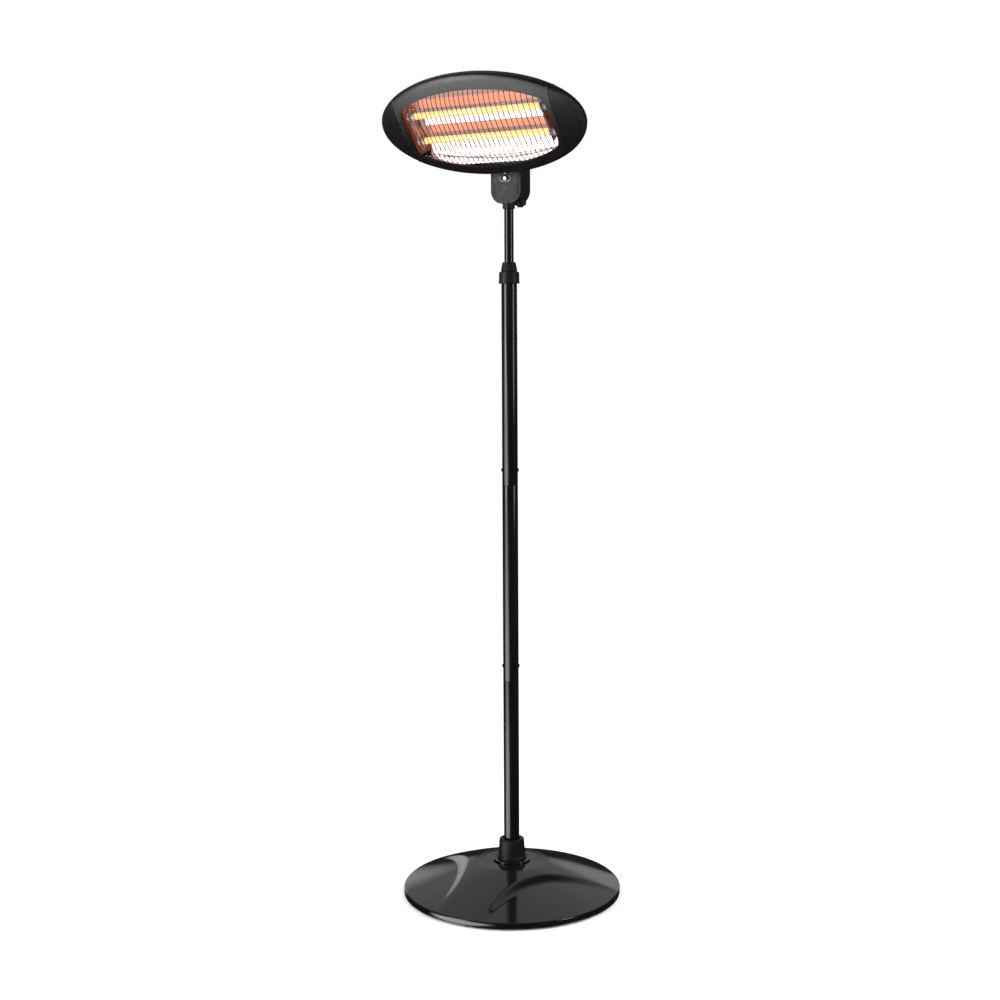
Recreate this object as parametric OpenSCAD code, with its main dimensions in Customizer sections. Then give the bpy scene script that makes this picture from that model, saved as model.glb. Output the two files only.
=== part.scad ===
// Electric patio heater: round weighted base, three-piece pole, telescopic mast
// and a tilting oval head with two quartz tubes behind a wire guard.
// Origin on the floor at the pole's axis, +Z up, the head faces -Y.

/* [Base] */
// Diameter of the base cover
base_d = 500; // [440:10:540]
// Height of the flat hub in the middle of the base cover
base_h = 75; // [65:1:85]
// Height of the upright rim wall, from the floor to its top edge
rim_h = 16.5; // [14:0.5:20]
// Depth of the three swirl scoops at their inner ends
scoop_drop = 12; // [6:1:14]
// Thickness of the cast weight inside the base
weight_t = 8; // [6:1:10]

/* [Pole] */
// Outside diameter of the pole sections
pole_d = 35.5; // [34:0.5:38]
// Wall thickness of the pole sections
pole_wall = 1.2; // [1:0.1:1.5]
// Height of the seam between the lower and middle sections
seam_low_z = 498; // [460:1:520]
// Length of one pole section between seams
section_l = 450; // [430:1:460]
// Height of the top end of the upper section
pole_top_z = 1418; // [1400:1:1430]
// Outside diameter of the telescopic inner tube
mast_d = 21; // [20:0.5:22]

/* [Head] */
// Half of the head's width
head_a = 249; // [240:1:255]
// Half of the head's height
head_b = 128; // [124:1:132]
// Forward tilt of the face from the vertical
tilt = 42; // [35:1:48]
// Place of the rim's centre in front of the pole's axis
head_y = -119; // [-125:1:-114]
// Height of the rim's centre
head_z = 1733; // [1728:1:1742]
// Height of the domed bezel above the rim plane
dome_h = 24; // [20:1:28]
// Half of the window's width
win_w = 180; // [170:1:182]
// Half of the window's height
win_h = 98; // [90:1:100]
// Distance of each quartz tube from the middle of the face
tube_gap = 32; // [28:1:36]
// Number of upright guard wires
wire_count = 31; // [21:2:35]

/* [Hidden] */
$fn = 64;
black = [0.06, 0.06, 0.065];
steel = [0.72, 0.72, 0.74];
zinc = [0.62, 0.63, 0.65];

// Base, in millimetres
base_r = base_d / 2;
cover_t = 1.4;
cover_z0 = 4;
hub_r = 77;
dome_power = 1.15;
swirl_turn = -30;
scoop_r = 289;
scoop_x = 391;
plate_z = 5;
plate_t = 1.5;
foot_r = 9;
foot_ring = 232;
weight_r = 190;
weight_z = plate_z + plate_t;
weight_top = weight_z + weight_t;
weight_bolt_ring = 120;
socket_r = 20.5;
socket_bore = pole_d / 2 + 0.3;
socket_floor = 42;
pole_foot_z = 48;
flange_r = 43;
collar_bottom_r = 33;
collar_top_r = 29;
collar_top_z = 126;
bolt_r = 5;

// Pole
pole_r = pole_d / 2;
pole_bore = pole_r - pole_wall;
swage_r = pole_bore - 0.15;
swage_l = 60;
seam_top_z = seam_low_z + section_l;
joint_screw_up = 34;
joint_screw_turn = 30;
skirt_z0 = 1399;
skirt_z1 = 1425;
spigot_r = 14.5;
spigot_top = 1440;
nut_top = 1446;
mast_r = mast_d / 2;
mast_wall = 1.5;
mast_z0 = 1115;
mast_z1 = 1602;
bush_top = 1145;

// Housing under the head
box_w = 39;
box_front = -14;
box_back = 31;
box_split = box_front + 3;
box_z0 = 1574;
box_z1 = 1655;
box_corner = 29;
box_wall = 2.4;
neck_z0 = 1563;
button_z = 1630;
button_r = 5;
gland_x = 18;
gland_y = 20;
gland_z = 1567;
gland_bore = 4.2;
grommet_y = -1;

// Tilt hinge
pivot_y = 8;
pivot_z = 1676;
ear_x = 14.4;
ear_t = 3;
hinge_r = 4;
lug_w = 11.6;

// Head, in the face's own frame: x across, y up the face, z out of it
ridge_x = 190;
shell_wall = 1.4;
bezel_lip = 5;
lip_drop = 2.5;
shell_inset = shell_wall + 0.4;
shell_back = 11;
shell_depth = 40;
win_ratio = 1.2;
guard_seat = 9;
guard_apex = 32;
wire_r = 0.9;
tube_z = -4;
tube_r = 7;
tube_half = 158;
trough_z = -22;
trough_spread = 130;
ring_n = 60;
grommet_v = -30;

// ---------- helpers ----------
module at_face() {
    translate([0, head_y, head_z])
        rotate([90 + tilt, 0, 0])
            children();
}

module pipe(r_out, r_in, z0, z1) {
    translate([0, 0, z0])
        difference() {
            cylinder(r = r_out, h = z1 - z0);
            translate([0, 0, -1])
                cylinder(r = r_in, h = z1 - z0 + 2);
        }
}

module rod(r, z0, z1) {
    translate([0, 0, z0])
        cylinder(r = r, h = z1 - z0);
}

module around(count, ring, turn = 0) {
    for (i = [0:count - 1])
        rotate([0, 0, turn + i * 360 / count])
            translate([ring, 0, 0])
                children();
}

// A solid skinned over rings of points; closed joins the last ring to the first
module ring_solid(rings, closed) {
    n = len(rings[0]);
    m = len(rings);
    last = closed ? m - 1 : m - 2;
    sides = [
        for (j = [0:last], i = [0:n - 1])
            let (a = j * n + i, b = j * n + (i + 1) % n, c = ((j + 1) % m) * n + (i + 1) % n, d = ((j + 1) % m) * n + i)
            each [[a, c, b], [a, d, c]]
    ];
    caps = closed ? [] : [[for (i = [0:n - 1]) i], [for (i = [n - 1:-1:0]) (m - 1) * n + i]];
    polyhedron(points = [for (ring = rings) each ring], faces = concat(sides, caps));
}

// ---------- base ----------
function dome_z(r) =
    r <= hub_r ? base_h : rim_h + (base_h - rim_h) * (1 - pow((r - hub_r) / (base_r - hub_r), dome_power));
function scoop_z(r) = dome_z(r) - scoop_drop * (base_r - r) / (base_r - hub_r - 28) - 0.3;

module dome(inset, scooped) {
    steps = 7;
    radii = concat([hub_r], [for (i = [1:steps]) hub_r + (base_r - hub_r) * i / steps]);
    crown = [for (r = radii) [r == base_r ? r - inset : r, (scooped ? scoop_z(r) : dome_z(r)) - inset]];
    rotate_extrude($fn = 96)
        polygon(concat([[0, cover_z0 - 2 * inset]], [[0, crown[0][1]]], crown, [[base_r - inset, cover_z0 - 2 * inset]]));
}

module dome_with_scoops(inset) {
    difference() {
        dome(inset, false);
        around(3, scoop_x, swirl_turn)
            cylinder(r = scoop_r + inset, h = 200, $fn = 180);
    }
    dome(inset, true);
}

module base_cover() {
    color(black)
        difference() {
            dome_with_scoops(0);
            dome_with_scoops(cover_t);
            rod(socket_r + 0.3, 0, 200);
        }
}

module base_weight() {
    color([0.25, 0.25, 0.26])
        difference() {
            rod(weight_r, weight_z, weight_top);
            rod(bolt_r + 0.5, 0, 50);
            rod(20, weight_z - 1, weight_z + 3.5);
            around(3, weight_bolt_ring)
                rod(3.02, 0, 50);
        }
}

module bottom_plate() {
    color(zinc)
        difference() {
            rod(base_r - cover_t - 0.3, plate_z, plate_z + plate_t);
            rod(22, 0, 50);
            around(3, weight_bolt_ring)
                rod(3.2, 0, 50);
            around(6, foot_ring, swirl_turn)
                rod(3.2, 0, 50);
        }
}

module rubber_feet() {
    color([0.1, 0.1, 0.1])
        around(6, foot_ring, swirl_turn) {
            rod(foot_r, 0, plate_z);
            rod(3.1, plate_z - 1, plate_z + plate_t + 1);
            rod(4.4, plate_z + plate_t + 0.05, plate_z + plate_t + 2);
        }
}

module weight_bolts() {
    color(zinc)
        around(3, weight_bolt_ring) {
            rod(5, plate_z - 3.5, plate_z);
            rod(3, plate_z - 1, weight_top - 1);
        }
}

module pole_socket() {
    color(black)
        difference() {
            union() {
                rod(socket_r, weight_top, base_h + 2);
                rod(flange_r, base_h, base_h + 4);
            }
            rod(socket_bore, pole_foot_z, 200);
            rod(socket_bore, weight_top - 1, socket_floor);
            rod(bolt_r + 0.3, 0, 100);
        }
}

module base_collar() {
    color(black)
        difference() {
            union() {
                translate([0, 0, base_h + 4])
                    cylinder(r1 = collar_bottom_r + 1, r2 = collar_bottom_r - 0.8, h = 6);
                translate([0, 0, base_h + 9])
                    cylinder(r1 = collar_bottom_r - 1, r2 = collar_top_r + 0.5, h = 26);
                rod(collar_top_r, base_h + 34, collar_top_z - 2);
                translate([0, 0, collar_top_z - 2])
                    cylinder(r1 = collar_top_r, r2 = collar_top_r - 2, h = 2);
            }
            rod(pole_r + 0.3, 0, 200);
        }
}

module pole_bolt() {
    color(zinc) {
        translate([0, 0, 3.4])
            cylinder(r = 9, h = 4.6, $fn = 6);
        rod(bolt_r, 4, pole_foot_z + 14);
    }
}

module pole_washer() {
    color(zinc)
        pipe(17, bolt_r + 0.25, 8, weight_z + 3.5);
}

module pole_plug() {
    color(zinc)
        pipe(pole_bore - 0.05, bolt_r + 0.02, pole_foot_z + 0.5, pole_foot_z + 16);
}

// ---------- pole ----------
module joint_holes(z) {
    for (turn = [0, 180])
        rotate([0, 0, joint_screw_turn + turn])
            translate([0, 0, z])
                rotate([0, 90, 0])
                    cylinder(r = 2.45, h = 40);
}

module pole_section(z0, z1, swaged) {
    difference() {
        union() {
            pipe(pole_r, pole_bore, z0, z1);
            if (swaged)
                pipe(swage_r, swage_r - pole_wall, z1 - 2, z1 + swage_l);
        }
        joint_holes(seam_low_z + joint_screw_up);
        joint_holes(seam_top_z + joint_screw_up);
    }
    if (swaged)
        pipe(pole_bore + 0.1, swage_r - pole_wall, z1 - 2, z1);
}

module pole_lower() { color(black) pole_section(pole_foot_z, seam_low_z, true); }
module pole_middle() { color(black) pole_section(seam_low_z, seam_top_z, true); }
module pole_upper() { color(black) pole_section(seam_top_z, pole_top_z, false); }

module pole_screws() {
    color(black)
        for (z = [seam_low_z, seam_top_z], turn = [0, 180])
            rotate([0, 0, joint_screw_turn + turn])
                translate([0, 0, z + joint_screw_up])
                    rotate([0, 90, 0]) {
                        rod(2.4, swage_r - 3, pole_r + 1);
                        rod(4.2, pole_r + 0.02, pole_r + 2.2);
                    }
}

// ---------- height lock ----------
module collar_body() {
    color(black)
        difference() {
            union() {
                translate([0, 0, skirt_z0])
                    cylinder(r1 = 23.7, r2 = 22.8, h = skirt_z1 - skirt_z0);
                rod(spigot_r, skirt_z1 - 1, spigot_top);
            }
            rod(pole_r + 0.1, skirt_z0 - 1, pole_top_z);
            rod(mast_r + 0.4, 0, 1500);
            translate([0, 0, skirt_z1 - 3])
                cylinder(r = 12.2, h = 30);
        }
}

module collet() {
    color([0.75, 0.75, 0.72])
        difference() {
            pipe(11.9, mast_r + 0.35, skirt_z1 - 2.8, spigot_top + 2.5);
            translate([0, -1, 1400])
                cube([30, 2, 60]);
        }
}

module lock_nut() {
    nut_z0 = skirt_z1 + 0.3;
    color(black)
        difference() {
            union() {
                translate([0, 0, nut_z0])
                    cylinder(r1 = 18.4, r2 = 15.7, h = nut_top - nut_z0);
                around(16, 17.2)
                    translate([-1.6, -0.7, nut_z0 + 1])
                        cube([2.4, 1.4, 11]);
            }
            rod(spigot_r + 0.3, nut_z0 - 1, spigot_top + 0.3);
            rod(12.3, nut_z0 - 1, spigot_top + 3);
            rod(mast_r + 0.4, 1400, 1500);
        }
}

module guide_bush() {
    color([0.8, 0.8, 0.78])
        difference() {
            rod(pole_bore - 0.3, mast_z0 - 4, bush_top);
            rod(mast_r + 0.05, mast_z0 - 0.3, bush_top + 1);
            rod(8, mast_z0 - 10, bush_top);
        }
}

module retaining_ring() {
    color(zinc)
        pipe(mast_r + 3, mast_r + 0.02, bush_top + 0.3, bush_top + 2.3);
}

// ---------- mast and switch housing ----------
module inner_tube() {
    color(black)
        pipe(mast_r, mast_r - mast_wall, mast_z0, mast_z1);
}

module neck_bush() {
    color(black)
        difference() {
            union() {
                rod(13.7, neck_z0, box_z0);
                rod(10.5 + 2.2, box_z0 - 1, mast_z1);
            }
            rod(mast_r + 0.02, 1500, 1700);
        }
}

// Outline of the housing seen from the front, corners rounded at the bottom
module box_outline(inset) {
    r = box_corner - inset;
    w = box_w - inset;
    difference() {
        translate([-w, box_z0 + inset])
            square([2 * w, box_z1 - box_z0 - 2 * inset]);
        for (side = [-1, 1])
            translate([side * (w - r), box_z0 + inset + r])
                difference() {
                    translate([side > 0 ? 0 : -r - 1, -r - 1])
                        square([r + 1, r + 1]);
                    circle(r = r, $fn = 96);
                }
    }
}

module box_slab(inset, y0, y1) {
    translate([0, y1, 0])
        rotate([90, 0, 0])
            linear_extrude(height = y1 - y0)
                box_outline(inset);
}

module box_corners(r) {
    for (x = [-1, 1], z = [box_z0 + 28, box_z1 - 8])
        translate([x * (box_w - 7), 0, z])
            rotate([-90, 0, 0])
                rod(r, box_split + 0.02, box_back + 5);
}

module housing_rear() {
    color(black)
        difference() {
            union() {
                difference() {
                    box_slab(0, box_split, box_back);
                    box_slab(box_wall, box_split - 1, box_back - box_wall);
                }
                translate([gland_x, gland_y, gland_z + 7.6])
                    cylinder(r = 9.4, h = 14.4);
            }
            translate([gland_x, gland_y, 1500])
                cylinder(r = 8.5, h = gland_z + 10 - 1500);
            rod(12.85, 1500, mast_z1);
            translate([gland_x, gland_y, 1500])
                cylinder(r = 6.05, h = 120);
            box_corners(1.7);
            for (x = [-8, 8])
                translate([x, pivot_y + 7, 0])
                    rod(2.2, 1640, 1660);
            translate([0, grommet_y, 1640])
                cylinder(r = 4.2, h = 20);
        }
}

module housing_front() {
    color(black)
        difference() {
            union() {
                box_slab(0.6, box_front + 0.8, box_split - 0.05);
                box_slab(5, box_front, box_split - 0.05);
                for (x = [-1, 1], z = [box_z0 + 28, box_z1 - 8])
                    translate([x * (box_w - 7), 0, z])
                        rotate([-90, 0, 0])
                            rod(3.8, box_split - 1, box_back - box_wall - 0.2);
            }
            rod(12.85, 1500, mast_z1);
            translate([0, box_split + 1, button_z])
                rotate([90, 0, 0])
                    linear_extrude(height = 10)
                        oval(14.7, 7.7);
            box_corners(1.3);
        }
}

module oval(w, h) {
    for (side = [-1, 1])
        translate([side * (w - h), 0])
            circle(r = h);
    square([2 * (w - h), 2 * h], center = true);
}

module housing_screws() {
    color(zinc)
        for (x = [-1, 1], z = [box_z0 + 28, box_z1 - 8])
            translate([x * (box_w - 7), 0, z])
                rotate([-90, 0, 0]) {
                    rod(1.25, 5, box_back + 1);
                    rod(3, box_back + 0.02, box_back + 2);
                }
}

module switch_bezel() {
    color([0.1, 0.1, 0.1])
        translate([0, 0, button_z])
            rotate([90, 0, 0])
                difference() {
                    union() {
                        translate([0, 0, -box_split - 3])
                            linear_extrude(height = -box_front + box_split + 3.5)
                                oval(14.6, 7.6);
                        translate([0, 0, -box_front + 0.02])
                            linear_extrude(height = 1.4)
                                oval(15.5, 8.5);
                    }
                    rod(button_r + 0.3, 0, 60);
                }
}

module switch_button() {
    color([0.85, 0.85, 0.87])
        translate([0, 0, button_z])
            rotate([90, 0, 0]) {
                rod(button_r, -box_split - 4, -box_front + 4.6);
                rod(2, -8, 10);
            }
}

module switch_body() {
    color([0.15, 0.15, 0.15])
        difference() {
            translate([-9, box_split + 7.4, button_z - 8])
                cube([18, 12, 16]);
            translate([0, 0, button_z])
                rotate([-90, 0, 0])
                    rod(2.3, -10, 14);
        }
}

module terminal_block() {
    color([0.9, 0.9, 0.88])
        difference() {
            translate([-26, box_back - box_wall - 12, 1606])
                cube([20, 11.9, 12]);
            for (x = [-22.5, -16, -9.5])
                translate([x, box_back - box_wall - 6, 0])
                    rod(1.6, 1600, 1650);
        }
}

module tip_switch() {
    color([0.12, 0.12, 0.12])
        translate([13, box_back - box_wall - 14, 1606])
            cube([14, 13.9, 16]);
}

module cable_gland() {
    color(black)
        translate([gland_x, gland_y, 0])
            difference() {
                union() {
                    translate([0, 0, gland_z])
                        cylinder(r1 = 6.8, r2 = 8.2, h = 4);
                    rod(8.2, gland_z + 4, gland_z + 9.98);
                    rod(6, gland_z + 9, gland_z + 29);
                }
                rod(gland_bore, gland_z - 1, gland_z + 40);
            }
}

module gland_nut() {
    color([0.2, 0.2, 0.2])
        translate([gland_x, gland_y, gland_z + 22.1])
            difference() {
                cylinder(r = 8.8, h = 5, $fn = 6);
                translate([0, 0, -1])
                    cylinder(r = 6.02, h = 8);
            }
}

// ---------- tilt hinge ----------
module tilt_yoke() {
    color(black)
        difference() {
            union() {
                translate([-ear_x - ear_t, pivot_y - 14, box_z1 + 0.02])
                    cube([2 * (ear_x + ear_t), 26, 3]);
                for (side = [-1, 1])
                    translate([side > 0 ? ear_x : -ear_x - ear_t, 0, 0]) {
                        translate([0, pivot_y, pivot_z])
                            rotate([0, 90, 0])
                                cylinder(r = 11.5, h = ear_t);
                        translate([0, pivot_y - 11.5, box_z1 + 1])
                            cube([ear_t, 23, pivot_z - box_z1 - 1]);
                    }
            }
            translate([-40, pivot_y, pivot_z])
                rotate([0, 90, 0])
                    cylinder(r = hinge_r + 0.02, h = 80);
            for (x = [-8, 8])
                translate([x, pivot_y + 7, 0])
                    rod(2.2, 1640, 1670);
            translate([0, grommet_y, 1640])
                cylinder(r = 4.2, h = 30);
        }
}

module yoke_bolts() {
    color(zinc)
        for (x = [-8, 8])
            translate([x, pivot_y + 7, 0]) {
                rod(2, box_z1 - box_wall - 4.5, box_z1 + 4);
                rod(3.6, box_z1 + 3.04, box_z1 + 5.4);
                translate([0, 0, box_z1 - box_wall - 3.6])
                    cylinder(r = 3.9, h = 3.5, $fn = 6);
            }
}

module hinge_bolt() {
    color(zinc)
        translate([0, pivot_y, pivot_z])
            rotate([0, 90, 0]) {
                rod(hinge_r, -ear_x - ear_t - 1, 27);
                translate([0, 0, -ear_x - ear_t - 5.4])
                    cylinder(r = 7.2, h = 5.38, $fn = 6);
            }
}

module hinge_nut() {
    color(zinc)
        translate([ear_x + ear_t + 0.02, pivot_y, pivot_z])
            rotate([0, 90, 0])
                difference() {
                    cylinder(r = 7.2, h = 7, $fn = 6);
                    translate([0, 0, -1])
                        cylinder(r = hinge_r + 0.02, h = 9);
                }
}

module hinge_washers() {
    color(zinc)
        translate([0, pivot_y, pivot_z])
            rotate([0, 90, 0])
                for (side = [-1, 1])
                    pipe(8.5, hinge_r + 0.02, side > 0 ? ear_x - 1.62 : -ear_x + 0.02, side > 0 ? ear_x - 0.02 : -ear_x + 1.62);
}

// The pivot's place in the face's frame
pivot_n = -(pivot_y - head_y) * cos(tilt) - (pivot_z - head_z) * sin(tilt);
pivot_v = -(pivot_y - head_y) * sin(tilt) + (pivot_z - head_z) * cos(tilt);
pad_n = -50;
pad_v0 = -92;
pad_v1 = -50;
pad_w = 27;

module hinge_bracket() {
    color(black)
        at_face()
            difference() {
                union() {
                    translate([-pad_w + 1, pad_v0, pad_n - 3.02])
                        cube([2 * pad_w - 2, pad_v1 - pad_v0, 3]);
                    translate([-lug_w, pivot_v, pivot_n])
                        rotate([0, 90, 0])
                            cylinder(r = 9.5, h = 2 * lug_w);
                    rotate([90, 0, 90])
                        translate([0, 0, -lug_w])
                            linear_extrude(height = 2 * lug_w)
                                polygon([
                                    [pivot_v - 2, pivot_n - 9.2], [pad_v0 + 22, pad_n - 2],
                                    [pad_v0 + 1, pad_n - 0.1], [pivot_v + 2, pivot_n + 9.2]
                                ]);
                }
                translate([-40, pivot_v, pivot_n])
                    rotate([0, 90, 0])
                        cylinder(r = hinge_r + 0.06, h = 80);
                bracket_holes(2.2);
            }
}

module bracket_holes(r) {
    for (x = [-20, 20], v = [pad_v0 + 7, pad_v1 - 7])
        translate([x, v, pad_n - 10])
            cylinder(r = r, h = 22);
}

module bracket_screws() {
    color(zinc)
        at_face()
            for (x = [-20, 20], v = [pad_v0 + 7, pad_v1 - 7])
                translate([x, v, 0]) {
                    rod(1.95, pad_n - 4, pad_n + 9);
                    rod(3.8, pad_n - 5.4, pad_n - 3.04);
                }
}

// ---------- head shells ----------
function ellipse_pts(a, b) = [for (i = [0:ring_n - 1]) let (t = 360 * i / ring_n) [a * cos(t), b * sin(t)]];
function window_pts(grow) = [
    for (i = [0:ring_n - 1])
        let (
            t = 360 * i / ring_n,
            x = win_ratio * (win_w + grow) * cos(t),
            limit = win_w + grow
        )
        [min(max(x, -limit), limit), (win_h + grow) * sin(t)]
];
ridge_n = dome_h * sqrt(1 - pow(ridge_x / head_a, 2));
function dome_n(x, y) = dome_h * sqrt(max(0, 1 - pow(x / head_a, 2) - pow(y / head_b, 2)));
function wing_n(x, y) =
    let (
        t = (abs(x) - ridge_x) / (head_a - ridge_x),
        half = head_b * sqrt(max(0.0001, 1 - pow(x / head_a, 2)))
    )
    ridge_n * (1 - t) * sqrt(max(0, 1 - pow(y / half, 2)));
function face_n(x, y) = abs(x) > ridge_x ? wing_n(x, y) : dome_n(x, y);

function mixed_ring(outer, inner, s, drop) = [
    for (i = [0:ring_n - 1])
        let (
            p = outer[i] * (1 - s) + inner[i] * s,
            q = ellipse_pts(head_a, head_b)[i] * (1 - s) + inner[i] * s
        )
        [p[0], p[1], face_n(q[0], q[1]) - drop]
];
function flat_ring(pts, z) = [for (p = pts) [p[0], p[1], z]];

module front_bezel() {
    steps = [0.04, 0.15, 0.4, 0.7, 1];
    rim = ellipse_pts(head_a, head_b);
    rim_in = ellipse_pts(head_a - shell_wall, head_b - shell_wall);
    hole = window_pts(0);
    hole_in = window_pts(shell_wall);
    outside = concat([flat_ring(rim, -bezel_lip), flat_ring(rim, 0)], [for (s = steps) mixed_ring(rim, hole, s, 0)]);
    inside = concat(
        [mixed_ring(rim, hole, 1, lip_drop), mixed_ring(rim_in, hole_in, 1, lip_drop)],
        [for (i = [len(steps) - 1:-1:0]) mixed_ring(rim_in, hole_in, steps[i], shell_wall)],
        [flat_ring(rim_in, -shell_wall), flat_ring(rim_in, -bezel_lip)]
    );
    color(black)
        at_face()
            ring_solid(concat(outside, inside), true);
}

function back_n(rho) = -shell_back - shell_depth * pow(1 - rho * rho, 0.8);

module back_shell() {
    a = head_a - shell_inset;
    b = head_b - shell_inset;
    steps = [0.15, 0.4, 0.62, 0.8, 0.92, 0.98];
    outside = [
        for (rho = steps)
            flat_ring(ellipse_pts(a * rho, b * rho), back_n(rho))
    ];
    inside = [
        for (i = [len(steps) - 1:-1:0])
            let (rho = steps[i])
            flat_ring(ellipse_pts((a - shell_wall) * rho, (b - shell_wall) * rho), back_n(rho) + shell_wall)
    ];
    walls = [
        flat_ring(ellipse_pts(a, b), -shell_back), flat_ring(ellipse_pts(a, b), -0.4 - shell_wall),
        flat_ring(ellipse_pts(a - shell_wall, b - shell_wall), -0.4 - shell_wall),
        flat_ring(ellipse_pts(a - shell_wall, b - shell_wall), -shell_back + shell_wall)
    ];
    color(black)
        at_face()
            difference() {
                union() {
                    ring_solid(concat(outside, walls, inside), false);
                    rotate([90, 0, 90])
                        translate([0, 0, -pad_w])
                            linear_extrude(height = 2 * pad_w)
                                polygon([[pad_v0, pad_n], [pad_v1, pad_n], [pad_v1, pad_n + 10], [pad_v0, pad_n + 22]]);
                }
                bracket_holes(1.97);
                bezel_screw_places()
                    rod(1.9, -30, -10);
                translate([0, grommet_v, -80])
                    cylinder(r = 5, h = 60);
            }
}

module bezel_screw_places() {
    for (t = [35, 145, 215, 325])
        translate([(head_a - 18) * cos(t), (head_b - 14) * sin(t), 0])
            children();
}

module bezel_screws() {
    color(zinc)
        at_face()
            bezel_screw_places() {
                rod(1.6, -23, -3);
                rod(3, -24.8, -22.2);
            }
}

// ---------- heater inside the head ----------
function trough_n(v) = trough_z + pow(abs(v) - tube_gap, 2) / trough_spread;

module trough_profile(lift, t) {
    top = win_h - 5;
    line = [for (i = [0:32]) let (v = -top + i * top / 16) [v, trough_n(v) + lift]];
    polygon(concat(line, [for (i = [32:-1:0]) [line[i][0], line[i][1] - t]]));
}

module reflector() {
    color(steel)
        at_face()
            intersection() {
                rotate([90, 0, 90])
                    translate([0, 0, -160])
                        linear_extrude(height = 320)
                            trough_profile(0, 0.8);
                translate([0, 0, -60])
                    linear_extrude(height = 100)
                        polygon(ellipse_pts(head_a - 16, head_b - 16));
            }
}

module reflector_ends() {
    half = 62;
    line = [for (i = [0:16]) let (v = -half + i * half / 8) [v, trough_n(v) + 0.05]];
    color(steel)
        at_face()
            for (side = [-1, 1])
                difference() {
                    rotate([90, 0, 90])
                        translate([0, 0, side > 0 ? 158 : -159])
                            linear_extrude(height = 1)
                                polygon(concat([[-half, 6]], line, [[half, 6]]));
                    cap_bores(9.3);
                }
}

module cap_bores(r) {
    for (v = [-tube_gap, tube_gap])
        translate([-200, v, tube_z])
            rotate([0, 90, 0])
                cylinder(r = r, h = 400);
}

module quartz_tube(v) {
    color([0.95, 0.9, 0.88])
        at_face()
            translate([0, v, tube_z])
                rotate([0, 90, 0])
                    pipe(tube_r, tube_r - 1.2, -tube_half, tube_half);
}

module upper_quartz_tube() { quartz_tube(tube_gap); }
module lower_quartz_tube() { quartz_tube(-tube_gap); }

module heating_coils() {
    color([1, 0.45, 0.15])
        at_face()
            for (v = [-tube_gap, tube_gap])
                translate([0, v, tube_z])
                    rotate([0, 90, 0])
                        rod(4, -tube_half + 4, tube_half - 4);
}

module ceramic_caps() {
    color([0.92, 0.9, 0.85])
        at_face()
            for (v = [-tube_gap, tube_gap], side = [0, 1])
                mirror([side, 0, 0])
                    translate([0, v, tube_z])
                        rotate([0, 90, 0])
                            difference() {
                                rod(9, tube_half - 14, tube_half + 14);
                                rod(tube_r + 0.03, tube_half - 15, tube_half + 0.3);
                                rod(2, tube_half - 1, tube_half + 20);
                            }
}

module tube_brackets() {
    color(zinc)
        at_face()
            for (side = [0, 1])
                mirror([side, 0, 0])
                    difference() {
                        union() {
                            translate([163, -48, -26])
                                cube([1.2, 96, 36]);
                            translate([163, -30, -27.2])
                                cube([12, 60, 1.2]);
                        }
                        cap_bores(9.1);
                    }
}

// An arc between two points at height z0, bulging to z1 in the middle
module bowed_wire(half, z0, z1, r) {
    rise = max(z1 - z0, 1);
    big = (half * half + rise * rise) / (2 * rise);
    sweep = 2 * asin(half / big);
    translate([0, 0, z0 + rise - big])
        rotate([0, -90, 0])
            rotate([0, 0, -sweep / 2])
                rotate_extrude(angle = sweep, $fn = 64)
                    translate([big, 0])
                        circle(r = r, $fn = 16);
}

function win_half(x) = win_h * sqrt(max(0, 1 - pow(x / (win_ratio * win_w), 2)));
function guard_top(x) = guard_seat + (guard_apex - guard_seat) * (1 - pow(x / (win_w + 18), 2));

module guard() {
    pitch = 2 * (win_w - 2) / (wire_count - 1);
    color([0.7, 0.7, 0.72])
        at_face() {
            for (i = [0:wire_count - 1])
                let (x = -win_w + 2 + i * pitch)
                translate([x, 0, 0])
                    bowed_wire(win_half(x) + 3, guard_seat, guard_top(x), wire_r);
            for (v = [-62, 62])
                translate([0, v, 0])
                    rotate([0, 0, 90])
                        bowed_wire(win_w - 10, guard_seat - 0.4, guard_apex - 12, 1.2);
            translate([0, 0, guard_seat - 1.2])
                linear_extrude(height = 1.6)
                    difference() {
                        polygon(window_pts(7));
                        polygon(window_pts(0.6));
                    }
        }
}

module ceramic_terminal() {
    color([0.92, 0.9, 0.85])
        at_face()
            translate([-24, -10, -44])
                cube([48, 18, 14]);
}

module head_grommet() {
    color([0.1, 0.1, 0.1])
        at_face()
            translate([0, grommet_v, 0]) {
                pipe(4.9, 3, -56, -36);
                pipe(7, 3, -56, -51.5);
            }
}

module housing_grommet() {
    color([0.1, 0.1, 0.1])
        translate([0, grommet_y, 0]) {
            pipe(4.1, 2.6, box_z1 - 5, box_z1 + 4);
            pipe(5.6, 2.6, box_z1 + 3.1, box_z1 + 6);
        }
}

base_cover();
base_weight();
bottom_plate();
rubber_feet();
weight_bolts();
pole_socket();
base_collar();
pole_bolt();
pole_washer();
pole_plug();
pole_lower();
pole_middle();
pole_upper();
pole_screws();
collar_body();
collet();
lock_nut();
guide_bush();
retaining_ring();
inner_tube();
neck_bush();
housing_rear();
housing_front();
housing_screws();
switch_bezel();
switch_button();
switch_body();
terminal_block();
tip_switch();
cable_gland();
gland_nut();
tilt_yoke();
yoke_bolts();
hinge_bolt();
hinge_nut();
hinge_washers();
hinge_bracket();
bracket_screws();
back_shell();
front_bezel();
bezel_screws();
reflector();
reflector_ends();
upper_quartz_tube();
lower_quartz_tube();
heating_coils();
ceramic_caps();
tube_brackets();
guard();
ceramic_terminal();
head_grommet();
housing_grommet();
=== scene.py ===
from math import atan2, cos, pi, radians, sin, sqrt

import bmesh
import bpy
from mathutils import Matrix, Vector


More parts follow.
